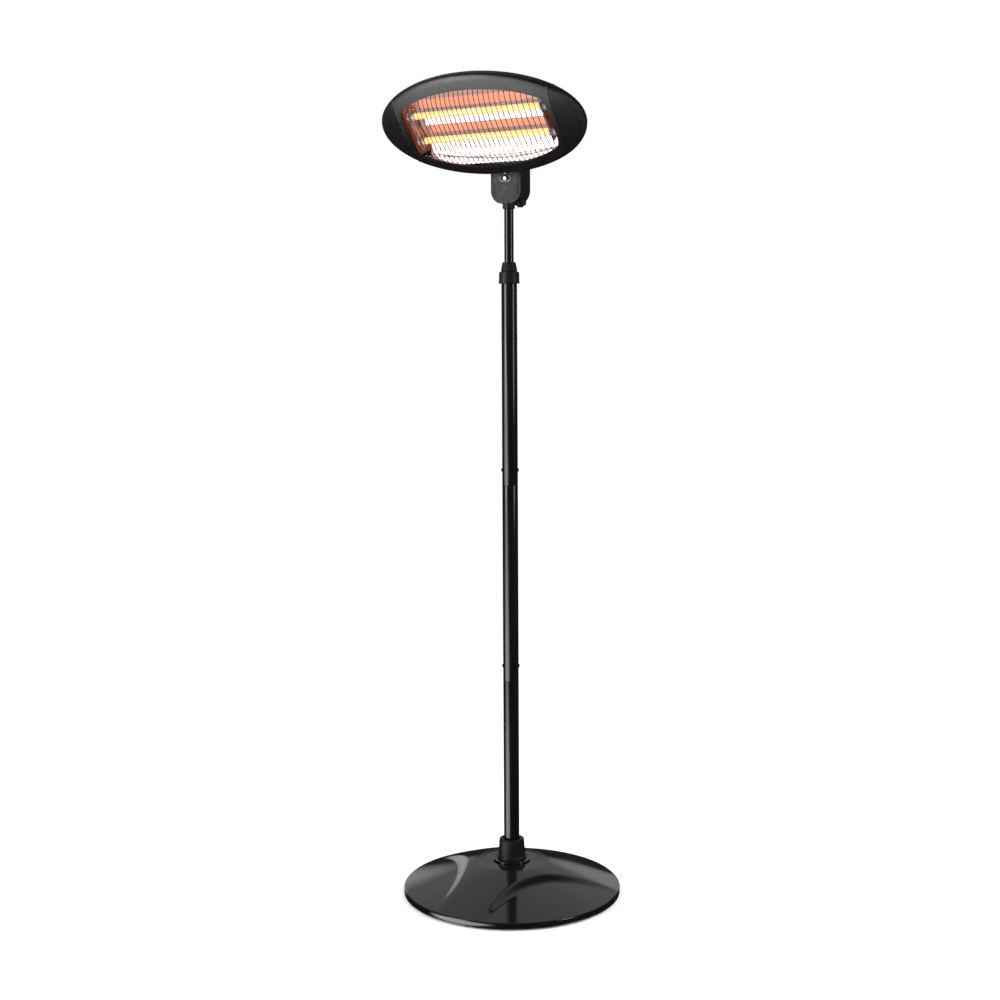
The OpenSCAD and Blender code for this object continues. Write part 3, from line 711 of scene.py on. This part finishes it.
def makeHeightLock(plastic):
    shape = lockShape
    pole = turnedSize("pole_upper")[0] + 0.0001
    mast = turnedSize("inner_tube")[0]
    radius, low, _ = turnedSize("collar_body")
    top, step = boxes["lock_nut"][0].z - 0.0003, low + 0.019
    neck, neckBore, slide = shape["neck"], shape["neckBore"], mast + shape["play"]
    profile = roundedProfile([
        (pole, low, 0), (radius, low, 0.001), (radius - 0.0001, low + 0.003, 0.0004),
        (radius - 0.0006, low + 0.0036, 0.0004), (radius - 0.0013, top - 0.0015, 0.0004),
        (radius - 0.0024, top, 0.0014), (neck, top, 0), (neck, top + 0.015, 0), (neckBore, top + 0.015, 0),
        (neckBore, top - 0.003, 0), (slide, top - 0.003, 0), (slide, step, 0), (pole, step, 0),
    ], 4)
    finishPiece(turned(profile, steps=128), "collarBody", "base", plastic, ("collar_body",))
    _, low, high = turnedSize("lock_nut")
    wide, slim, bore = shape["nutFoot"], shape["nutTop"], shape["nutBore"]
    profile = [(bore, low), (wide - 0.0004, low), (wide, low + 0.0006)]
    for i in range(1, 15):
        profile.append((wide + (slim - wide) * i / 14, low + 0.0006 + (high - low - 0.0024) * i / 14))
    profile += [(slim - 0.0006, high - 0.0006), (slim - 0.0018, high), (mast + 0.001, high)]
    profile += [(slide, high - 0.0008), (slide, high - 0.003), (bore, high - 0.0057)]
    bm = turned(profile, steps=240)
    ribbed(bm, low + 0.001, low + shape["ribTop"], shape["ribs"], shape["ribHeight"])
    finishPiece(bm, "lockNut", "lock", plastic, ("lock_nut",), sharp=50)


# mast and switch housing
innerTube = {"wall": 0.0015, "edge": 0.0006}


def makeMast(paint, plastic):
    radius, low, high = turnedSize("inner_tube")
    profile = tubeProfile(radius, innerTube["wall"], low, high, innerTube["edge"], 3)
    finishPiece(turned(profile), "innerTube", "mast", paint, ("inner_tube",))
    wide, low, high = turnedSize("neck_bush")
    shoulder = boxes["housing_rear"][0].z
    bore = radius + 0.0001
    profile = roundedProfile([
        (bore, low, 0), (wide - 0.0004, low, 0.001), (wide, low + 0.004, 0.001), (wide, shoulder + 0.001, 0),
        (wide - 0.001, shoulder + 0.002, 0), (wide - 0.001, high, 0), (bore, high, 0),
    ])
    finishPiece(turned(profile), "neckBush", "mast", plastic, ("neck_bush",))


housingShape = {
    "corner": 0.029,      # lower corners
    "topCorner": 0.004,
    "backRound": 0.004,
    "border": 0.0042,     # round the front panel
    "groove": 0.0011,
    "grooveDepth": 0.0012,
    "proud": 0.0008,      # how far the panel stands out of the groove's border
    "wall": 0.0024,
    "screw": 0.003,
    "screwHeight": 0.002,
}
flat = 1e-6               # how close to a plane counts as in it


def rounded(bm, geom, size, steps, affect="EDGES"):
    bmesh.ops.bevel(bm, geom=geom, offset=size, segments=steps, profile=0.5, affect=affect, material=-1)


def inPlane(face, y):
    return abs(face.calc_center_median().y - y) < flat


def edgesOf(faces):
    return list({edge for face in faces for edge in face.edges})


def housingFace(bm, y, inset=0.0):  # U outline seen from the front, at depth y
    low, high = boxes["housing_rear"]
    left, right, foot, top = low.x + inset, high.x - inset, low.z + inset, high.z - inset
    verts = [bm.verts.new((x, y, z)) for x, z in ((left, foot), (right, foot), (right, top), (left, top))]
    bm.faces.new(verts)
    rounded(bm, verts[:2], housingShape["corner"] - inset, 20, "VERTICES")
    verts = [vert for vert in bm.verts if vert.co.z > top - 0.0001 and abs(vert.co.y - y) < flat]
    rounded(bm, verts, housingShape["topCorner"], 6, "VERTICES")
    return [face for face in bm.faces if inPlane(face, y)]


def pushFaces(bm, faces, move):
    made = bmesh.ops.extrude_face_region(bm, geom=faces)["geom"]
    bmesh.ops.translate(bm, vec=move, verts=[part for part in made if isinstance(part, bmesh.types.BMVert)])
    return [part for part in made if isinstance(part, bmesh.types.BMFace)]


def makeHousing(plastic, metal):
    shape = housingShape
    low, high = boxes["housing_rear"]
    bm = bmesh.new()
    start = housingFace(bm, low.y)
    back = pushFaces(bm, start, (0, high.y - low.y, 0))
    bmesh.ops.delete(bm, geom=start, context="FACES")
    rounded(bm, edgesOf(back), shape["backRound"], 5)
    finishPiece(bm, "housingRear", "mast", plastic, ("housing_rear",), wall=shape["wall"])
    makeHousingFront(plastic)

    bm = bmesh.new()
    low, high = boxes["housing_screws"]
    size, height = shape["screw"], shape["screwHeight"]
    for x in (low.x + size, high.x - size):
        for z in (low.z + size, high.z - size):
            place = Matrix.Translation((x, high.y - height, z)) @ Matrix.Rotation(-pi / 2, 4, "X")
            screwHead(bm, size, height, place)
    finishPiece(bm, "housingScrews", "mast", metal, ("housing_screws",), weld=False)


def makeHousingFront(plastic):
    shape = housingShape
    back, front = boxes["housing_rear"][0].y, boxes["housing_front"][0].y
    bm = bmesh.new()
    start = housingFace(bm, back - 0.00005, 0.0005)
    top = pushFaces(bm, start, (0, front + shape["proud"] - back, 0))
    rounded(bm, edgesOf(top), 0.0012, 3)
    level = front + shape["proud"]
    top = [face for face in bm.faces if face.normal.y < -0.99 or inPlane(face, level)]
    top = [max(top, key=lambda face: face.calc_area())]
    bmesh.ops.inset_region(bm, faces=top, thickness=shape["border"], depth=0, use_even_offset=True)
    top = pushFaces(bm, top, (0, shape["grooveDepth"], 0))
    bmesh.ops.inset_region(bm, faces=top, thickness=shape["groove"], depth=0, use_even_offset=True)
    top = pushFaces(bm, top, (0, -shape["grooveDepth"] - shape["proud"], 0))
    rounded(bm, edgesOf(top), 0.0005, 2)
    finishPiece(bm, "housingFront", "mast", plastic, ("housing_front",), sharp=30)


switchShape = {
    "depth": 0.003,       # thickness of the surround
    "lip": 0.0012,
    "slope": 0.0016,      # width of the slope down into the dish
    "dish": 0.0022,
    "button": 0.005,      # radius
    "buttonLength": 0.009,
    "dome": 0.0012,
}


def makeSwitch(plastic, chrome):
    shape = switchShape
    low, high = boxes["switch_bezel"]
    middle = middleOf("switch_bezel")
    halfX, halfZ = (high.x - low.x) / 2, (high.z - low.z) / 2
    bm = bmesh.new()
    corners = [(-halfX, -halfZ), (halfX, -halfZ), (halfX, halfZ), (-halfX, halfZ)]
    verts = [bm.verts.new((x, high.y - shape["depth"], middle.z + z)) for x, z in corners]
    bm.faces.new(verts)
    rounded(bm, verts, halfZ - 0.0001, 14, "VERTICES")
    top = pushFaces(bm, list(bm.faces), (0, low.y - high.y + shape["depth"], 0))
    rounded(bm, edgesOf(top), 0.0006, 3)
    top = [face for face in bm.faces if abs(face.calc_center_median().y - low.y) < 1e-5]
    top = [max(top, key=lambda face: face.calc_area())]
    for width in (shape["lip"], shape["slope"]):
        bmesh.ops.inset_region(bm, faces=top, thickness=width, depth=0, use_even_offset=True)
    floor = list({vert for face in top for vert in face.verts})
    bmesh.ops.translate(bm, vec=(0, shape["dish"], 0), verts=floor)
    finishPiece(bm, "switchBezel", "mast", plastic, ("switch_bezel",))

    top = -boxes["switch_button"][0].y
    foot, size, dome = top - shape["buttonLength"], shape["button"], shape["dome"]
    profile = [(0, foot), (size, foot), (size, top - dome - 0.0006)]
    for angle in (0, 18, 36, 54, 72):
        profile.append((size * cos(radians(angle)) * 0.97, top - dome * (1 - sin(radians(angle)))))
    profile.append((0, top))
    place = Matrix.Translation((0, 0, middleOf("switch_button").z)) @ Matrix.Rotation(pi / 2, 4, "X")
    bm = turned(profile, closed=False, steps=48, place=place)
    finishPiece(bm, "switchButton", "button", chrome, ("switch_button",), sharp=50)


glandShape = {
    "bore": 0.0042,
    "stem": 0.006,
    "nose": 0.010,        # length of the nose below the stem
    "seat": 0.0135,       # radius of the moulded seat round it
    "seatBore": 0.0086,
    "seatLow": 0.004,     # above the nose's tip
    "seatHigh": 0.024,
}


def makeGland(plastic):
    shape = glandShape
    low, high = boxes["cable_gland"]
    middle = middleOf("cable_gland")
    place = Matrix.Translation((middle.x, middle.y, 0))
    wide = (high.x - low.x) / 2
    bore, stem, shoulder = shape["bore"], shape["stem"], low.z + shape["nose"]
    profile = roundedProfile([
        (bore, low.z, 0.0006), (wide * 0.8, low.z, 0.0012), (wide * 0.98, low.z + 0.0035, 0.0015),
        (wide, shoulder, 0.0004), (stem, shoulder, 0), (stem, high.z, 0), (bore, high.z, 0),
    ], 4)
    finishPiece(turned(profile, place=place), "cableGland", "mast", plastic, ("cable_gland",))
    seat, bore = shape["seat"], shape["seatBore"]
    foot, top = low.z + shape["seatLow"], low.z + shape["seatHigh"]
    profile = roundedProfile([
        (bore, foot, 0), (seat - 0.0007, foot, 0.003), (seat, low.z + 0.013, 0.003),
        (seat - 0.0015, top, 0), (bore, top, 0),
    ], 5)
    finishPiece(turned(profile, steps=64, place=place), "glandSeat", "mast", plastic, ("cable_gland",))


# tilt hinge
yokeShape = {"sheet": 0.003, "strap": 0.023, "ear": 0.0115, "bevel": 0.0004}


def makeYoke(metal):
    sheet, strap, ear = yokeShape["sheet"], yokeShape["strap"], yokeShape["ear"]
    pivot = middleOf("hinge_washers")
    low, high = boxes["tilt_yoke"]
    bm = bmesh.new()
    foot = ((low + high) / 2).xy.to_3d() + zAxis * (low.z + sheet / 2)
    boxSolid(bm, (high.x - low.x, high.y - low.y, sheet), Matrix.Translation(foot))
    tall = pivot.z - low.z - sheet
    for side in (-1, 1):
        middle = side * (high.x - sheet / 2)
        upright = Matrix.Translation((middle, pivot.y, low.z + sheet + tall / 2))
        boxSolid(bm, (sheet, strap, tall), upright)
        place = Matrix.Translation((middle, pivot.y, pivot.z)) @ Matrix.Rotation(pi / 2, 4, "Y")
        disc = {"segments": 48, "radius1": ear, "radius2": ear, "depth": sheet}
        bmesh.ops.create_cone(bm, cap_ends=True, matrix=place, **disc)
    finishPiece(bm, "tiltYoke", "mast", metal, ("tilt_yoke",), bevel=yokeShape["bevel"], weld=False)


def paintNode(node, material):  # a CAD part that keeps its own shape
    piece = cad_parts[node]
    piece.data.materials.clear()
    piece.data.materials.append(material)
    weld = piece.modifiers.new("weld", "WELD")
    weld.merge_threshold = 0.00001


# head
def ovalSpot(share, halfWidth, halfHeight):
    angle = 2 * pi * share
    return Vector((halfWidth * cos(angle), halfHeight * sin(angle), 0))


def windowSpot(share, grow=0.0):
    limit, soft = head["windowWidth"] + grow, head["cornerSoft"]
    spot = ovalSpot(share, limit * head["windowOval"], head["windowHeight"] + grow)
    over = abs(spot.x) - (limit - soft)
    if over > 0:  # ends cut nearly straight, with softened corners
        reach = limit - soft + soft * (1 - head["cornerDecay"] ** (-over / soft))
        spot.x = reach if spot.x > 0 else -reach
    return spot


def faceHeight(x, y):
    a, b = head["halfWidth"], head["halfHeight"]
    if abs(x) <= head["ridge"]:
        return head["dome"] * sqrt(max(0.0, 1 - (x / a) ** 2 - (y / b) ** 2))
    ridgeHeight = head["dome"] * sqrt(1 - (head["ridge"] / a) ** 2)
    share = (abs(x) - head["ridge"]) / (a - head["ridge"])
    half = b * sqrt(max(0.0001, 1 - (x / a) ** 2))
    return ridgeHeight * (1 - share) * sqrt(max(0.0, 1 - (y / half) ** 2))


def loopRings(bm, rings):  # bridges loops of equal length, one after another
    loops = []
    for ring in rings:
        verts = [bm.verts.new(spot) for spot in ring]
        edges = [bm.edges.new((verts[i - 1], verts[i])) for i in range(len(verts))]
        loops.append((verts, edges))
    for (_, first), (_, second) in zip(loops, loops[1:]):
        bmesh.ops.bridge_loops(bm, edges=first + second)
    return loops


bezelShape = {
    "points": 288,
    "rows": 22,
    "easing": 1.8,        # rows crowd towards the rim
    "sideLip": 0.005,
    "rimLip": 0.0012,
    "windowLip": 0.004,
    "ridgeStep": 0.0007,  # wings sit this much lower than the frame
    "bead": 0.0007,       # rise of the ridge itself
    "beadHalf": 0.0012,   # half its width
}


def makeBezel(paint):
    shape = bezelShape
    shares = [i / shape["points"] for i in range(shape["points"])]
    a, b = head["halfWidth"], head["halfHeight"]
    lips = (shape["sideLip"], shape["rimLip"])
    rings = [[ovalSpot(s, a, b) - zAxis * drop for s in shares] for drop in lips]
    for row in range(1, shape["rows"] + 1):
        t = (row / shape["rows"]) ** shape["easing"]
        ring = []
        for s in shares:
            spot = ovalSpot(s, a, b).lerp(windowSpot(s), t)
            ring.append(Vector((spot.x, spot.y, faceHeight(spot.x, spot.y))))
        rings.append(ring)
    inner = rings[-1]
    for back, drop in ((0.0003, 0.0004), (0.0006, 0.0013), (0.0005, shape["windowLip"])):
        inwards = [Vector((-spot.x, -spot.y, 0)).normalized() * back for spot in inner]
        rings.append([spot - zAxis * drop + move for spot, move in zip(inner, inwards)])
    bm = bmesh.new()
    loopRings(bm, rings)
    for side in (-1, 1):
        for step in (-shape["beadHalf"], 0, shape["beadHalf"]):
            cut = Vector((side * (head["ridge"] + step), 0, 0))
            whole = bm.verts[:] + bm.edges[:] + bm.faces[:]
            bmesh.ops.bisect_plane(bm, geom=whole, plane_co=cut, plane_no=xAxis, dist=1e-6)
    for vert in bm.verts:  # the step down to the wings makes the ridge catch light
        high = smoothStep(vert.co.z / 0.003)
        if abs(vert.co.x) > head["ridge"] + 1e-5:
            vert.co.z -= shape["ridgeStep"] * high
        elif abs(vert.co.x) > head["ridge"] - 1e-5:
            vert.co.z += shape["bead"] * high
    bmesh.ops.transform(bm, matrix=facePlace, verts=bm.verts)
    finishPiece(bm, "frontBezel", "head", paint, ("front_bezel",), sharp=32, wall=head["wall"])


backShape = {"points": 240, "rows": 26, "easing": 1.5, "inset": 0.0018, "bulge": 0.8}


def backDepth(rho):
    return -head["sideDepth"] - head["backDepth"] * (1 - rho * rho) ** backShape["bulge"]


def makeBackShell(paint):
    shape = backShape
    shares = [i / shape["points"] for i in range(shape["points"])]
    inset = shape["inset"]
    a, b = head["halfWidth"] - inset, head["halfHeight"] - inset
    rings = [[ovalSpot(s, a, b) - zAxis * drop for s in shares] for drop in (inset, head["sideDepth"])]
    for row in range(1, shape["rows"]):
        rho = 1 - (row / shape["rows"]) ** shape["easing"]
        rings.append([ovalSpot(s, a * rho, b * rho) + zAxis * backDepth(rho) for s in shares])
    bm = bmesh.new()
    loops = loopRings(bm, rings)
    bmesh.ops.contextual_create(bm, geom=loops[-1][1])
    bmesh.ops.transform(bm, matrix=facePlace, verts=bm.verts)
    finishPiece(bm, "backShell", "head", paint, ("back_shell",), wall=head["wall"], sharp=30)


reflectorShape = {
    "depth": 0.022,
    "spread": 0.130,      # flatness of the two troughs
    "top": 0.093,
    "half": 0.160,
    "sheet": 0.0008,
    "margin": 0.016,      # kept free inside the casing's oval
}
endShape = {"half": 0.062, "top": 0.006, "flareRun": 0.028, "play": 0.00005, "sheet": 0.001}


def troughHeight(v):  # two parabolas side by side, each round a tube
    return -reflectorShape["depth"] + (abs(v) - tubeGap) ** 2 / reflectorShape["spread"]


def makeReflector(glowPaintedMirror):
    shape = reflectorShape
    a, b = head["halfWidth"] - shape["margin"], head["halfHeight"] - shape["margin"]
    bm = bmesh.new()
    line = []
    for i in range(65):
        v = -shape["top"] + shape["top"] * i / 32
        line.append(bm.verts.new((0, v, troughHeight(v))))
    edges = [bm.edges.new(pair) for pair in zip(line, line[1:])]
    made = bmesh.ops.extrude_edge_only(bm, edges=edges)["geom"]
    far = [part for part in made if isinstance(part, bmesh.types.BMVert)]
    for verts, side in ((line, -1), (far, 1)):
        for vert in verts:
            vert.co.x = side * min(shape["half"], a * sqrt(max(0.0, 1 - (vert.co.y / b) ** 2)))
    bmesh.ops.transform(bm, matrix=facePlace, verts=bm.verts)
    finishPiece(bm, "reflector", "head", glowPaintedMirror, ("reflector",), sharp=60, wall=shape["sheet"])


def makeReflectorEnds(metal):
    shape = endShape
    edge, top = shape["half"], shape["top"]
    half = boxes["reflector_ends"][1].x - 0.0005
    flare = (head["windowWidth"] - 0.001 - half) / shape["flareRun"]
    outline = [(-edge, top)]
    for i in range(33):
        v = -edge + edge * i / 16
        outline.append((v, troughHeight(v) + shape["play"]))
    outline.append((edge, top))
    bm = bmesh.new()
    for side in (-1, 1):
        spots = [(side * (half + flare * (n + reflectorShape["depth"])), v, n) for v, n in outline]
        bm.faces.new([bm.verts.new(spot) for spot in spots])
    bmesh.ops.transform(bm, matrix=facePlace, verts=bm.verts)
    finishPiece(bm, "reflectorEnds", "head", metal, ("reflector_ends",), wall=shape["sheet"])


tubeShape = {"wall": 0.0012, "edge": 0.0004}
coilShape = {"radius": 0.0036, "wire": 0.00055, "turns": 62, "steps": 12, "margin": 0.003}
capShape = {"radius": 0.009, "bore": 0.0071, "hole": 0.002, "overlap": 0.004, "past": 0.014}


def coilPath(half):
    radius, steps = coilShape["radius"], coilShape["steps"]
    reach, count = half - coilShape["margin"], coilShape["turns"] * coilShape["steps"]
    path = []
    for i in range(count + 1):
        angle = 2 * pi * i / steps
        path.append(Vector((radius * cos(angle), radius * sin(angle), -reach + 2 * reach * i / count)))
    return path


def makeTubes(quartz, coilMaterial, ceramic):
    low, high = boxes["upper_quartz_tube"]
    radius, half = (high.z - low.z) / 2, high.x
    tube = tubeProfile(radius, tubeShape["wall"], -half, half, tubeShape["edge"], 2)
    wide, bore, hole = capShape["radius"], capShape["bore"], capShape["hole"]
    start, end = half - capShape["overlap"], half + capShape["past"]
    cap = roundedProfile([
        (bore, start, 0), (wide, start, 0.0008), (wide, end, 0.001),
        (hole, end, 0), (hole, half, 0), (bore, half, 0),
    ], 3)
    caps, coils = bmesh.new(), []
    for name, middle in (("upper", upperTube), ("lower", lowerTube)):
        along = Matrix.Translation(middle) @ Matrix.Rotation(pi / 2, 4, "Y")
        bm = turned(tube, steps=48, place=along)
        finishPiece(bm, name + "QuartzTube", "head", quartz, (name + "_quartz_tube",))
        coils.append([along @ spot for spot in coilPath(half)])
        for side in (-1, 1):
            turned(cap, steps=40, bm=caps, place=along @ Matrix.Diagonal((1, 1, side, 1)))
    finishPiece(caps, "ceramicCaps", "head", ceramic, ("ceramic_caps",), weld=False)
    bm = wiresFrom(coils, coilShape["wire"], "coilCarrier", 1)
    finishPiece(bm, "heatingCoils", "head", coilMaterial, ("heating_coils",))


guardShape = {
    "seat": 0.009,      # height of the wire ends above the rim plane
    "apex": 0.032,      # height of the bow's top
    "wire": 0.0009,
    "brace": 0.0012,
    "braceGap": 0.062,  # distance of the cross wires from the middle
    "count": 31,
    "steps": 30,
    "bowPast": 0.018,   # how far past the window the bow would run out
    "bend": 0.58,       # share of the bow that its turned-down ends take
    "bendPower": 7,
    "overlap": 0.003,   # of the wire ends with the frame
    "braceEnd": 0.012,
    "braceSteps": 40,
    "sink": 0.0004,     # of braces and frame below the wire ends
    "frameInner": 0.0006,
    "frameOuter": 0.007,
    "frameSheet": 0.0016,
    "framePoints": 200,
}


def bowHeight(x, v, edge):  # broad bow with its ends turned down to the seat
    shape = guardShape
    seat, bend = shape["seat"], shape["bend"]
    rise = (shape["apex"] - seat) * (1 - (x / (head["windowWidth"] + shape["bowPast"])) ** 2)
    share = min(1.0, abs(v) / edge)
    return seat + rise * (1 - (1 - bend) * share ** 2 - bend * share ** shape["bendPower"])


def wireHalf(x):  # half the length of the wire at x
    half = head["windowHeight"] * sqrt(max(0.0, 1 - (x / (head["windowOval"] * head["windowWidth"])) ** 2))
    return half + guardShape["overlap"]


def makeGuardWires(chrome):
    count, steps = guardShape["count"], guardShape["steps"]
    edge = head["windowWidth"] - 0.002
    paths = []
    for i in range(count):
        x = -edge + 2 * edge * i / (count - 1)
        half = wireHalf(x)
        spots = [-cos(pi * k / steps) * half for k in range(steps + 1)]
        paths.append([facePlace @ Vector((x, v, bowHeight(x, v, half))) for v in spots])
    bm = wiresFrom(paths, guardShape["wire"], "guardCarrier", 2)
    finishPiece(bm, "guardWires", "head", chrome, ("guard",))


def makeGuardBraces(chrome):
    shape = guardShape
    reach, steps = head["windowWidth"] - shape["braceEnd"], shape["braceSteps"]
    lowest, drop = shape["seat"] - shape["sink"], shape["wire"] + shape["brace"]
    braces = []
    for v in (-shape["braceGap"], shape["braceGap"]):
        path = []
        for k in range(steps + 1):
            x = -cos(pi * k / steps) * reach
            lift = bowHeight(x, v, wireHalf(x)) - drop
            path.append(facePlace @ Vector((x, v, max(lowest, lift))))
        braces.append(path)
    bm = wiresFrom(braces, shape["brace"], "braceCarrier", 2)
    finishPiece(bm, "guardBraces", "head", chrome, ("guard",))


def makeGuardFrame(chrome):
    shape = guardShape
    inner, outer, count = shape["frameInner"], shape["frameOuter"], shape["framePoints"]
    wide, tall = head["windowWidth"], head["windowHeight"]
    level = zAxis * (shape["seat"] - shape["sink"])
    bm = bmesh.new()
    verts = [bm.verts.new(windowSpot(i / count, inner) + level) for i in range(count)]
    edges = [bm.edges.new((verts[i - 1], verts[i])) for i in range(count)]
    made = bmesh.ops.extrude_edge_only(bm, edges=edges)["geom"]
    grow = ((wide + outer) / (wide + inner), (tall + outer) / (tall + inner), 1)
    bmesh.ops.scale(bm, vec=grow, verts=[part for part in made if isinstance(part, bmesh.types.BMVert)])
    bmesh.ops.transform(bm, matrix=facePlace, verts=bm.verts)
    finishPiece(bm, "guardFrame", "head", chrome, ("guard",), wall=shape["frameSheet"], side=0)


# build
makeCamera()
makeLights()
makeSurroundings()
makeFloor()
print("camera, light and floor made")

gloss, tubeBlack, plastic = glossPaint(), tubePaint(), mouldedPlastic()
shellBlack, zinc, oxide = shellPaint(), zincPlate(), blackOxide()
rubber, iron, nylonWhite = footRubber(), castIron(), nylon()
switchBlack, chromeButton, ceramic = glossPlastic(), buttonChrome(), ceramicWhite()
glowPaintedMirror, wireChrome = mirrorAluminiumPaintedGlow(), guardChrome()
quartz, coilOrange = quartzGlow(), coilGlow()

makeBaseCover(gloss)
makeBaseUnderside(zinc, iron, rubber)
makePoleFoot(gloss, plastic)
print("base made")
makePole(tubeBlack, oxide)
makeHeightLock(plastic)
print("pole made")
makeMast(tubeBlack, plastic)
makeHousing(plastic, zinc)
makeSwitch(switchBlack, chromeButton)
makeGland(plastic)
makeYoke(oxide)
print("mast and housing made")
makeBezel(shellBlack)
makeBackShell(shellBlack)
makeReflector(glowPaintedMirror)
makeReflectorEnds(stainedSteelPaintedGlow())
makeTubes(quartz, coilOrange, ceramic)
makeGuardWires(wireChrome)
makeGuardBraces(wireChrome)
makeGuardFrame(wireChrome)
print("head made")

ownShape = [
    (zinc, ["weight_bolts", "pole_bolt", "pole_washer", "pole_plug", "retaining_ring", "yoke_bolts"]),
    (zinc, ["hinge_bolt", "hinge_nut", "hinge_washers", "bracket_screws", "bezel_screws", "tube_brackets"]),
    (nylonWhite, ["collet", "guide_bush"]),
    (switchBlack, ["switch_body", "tip_switch"]),
    (ceramic, ["terminal_block", "ceramic_terminal"]),
    (plastic, ["gland_nut"]),
    (oxide, ["hinge_bracket"]),
    (rubber, ["head_grommet", "housing_grommet"]),
]
for material, names in ownShape:
    for node in names:
        paintNode(node, material)
print("CAD parts painted")

scene.view_settings.view_transform = "Standard"
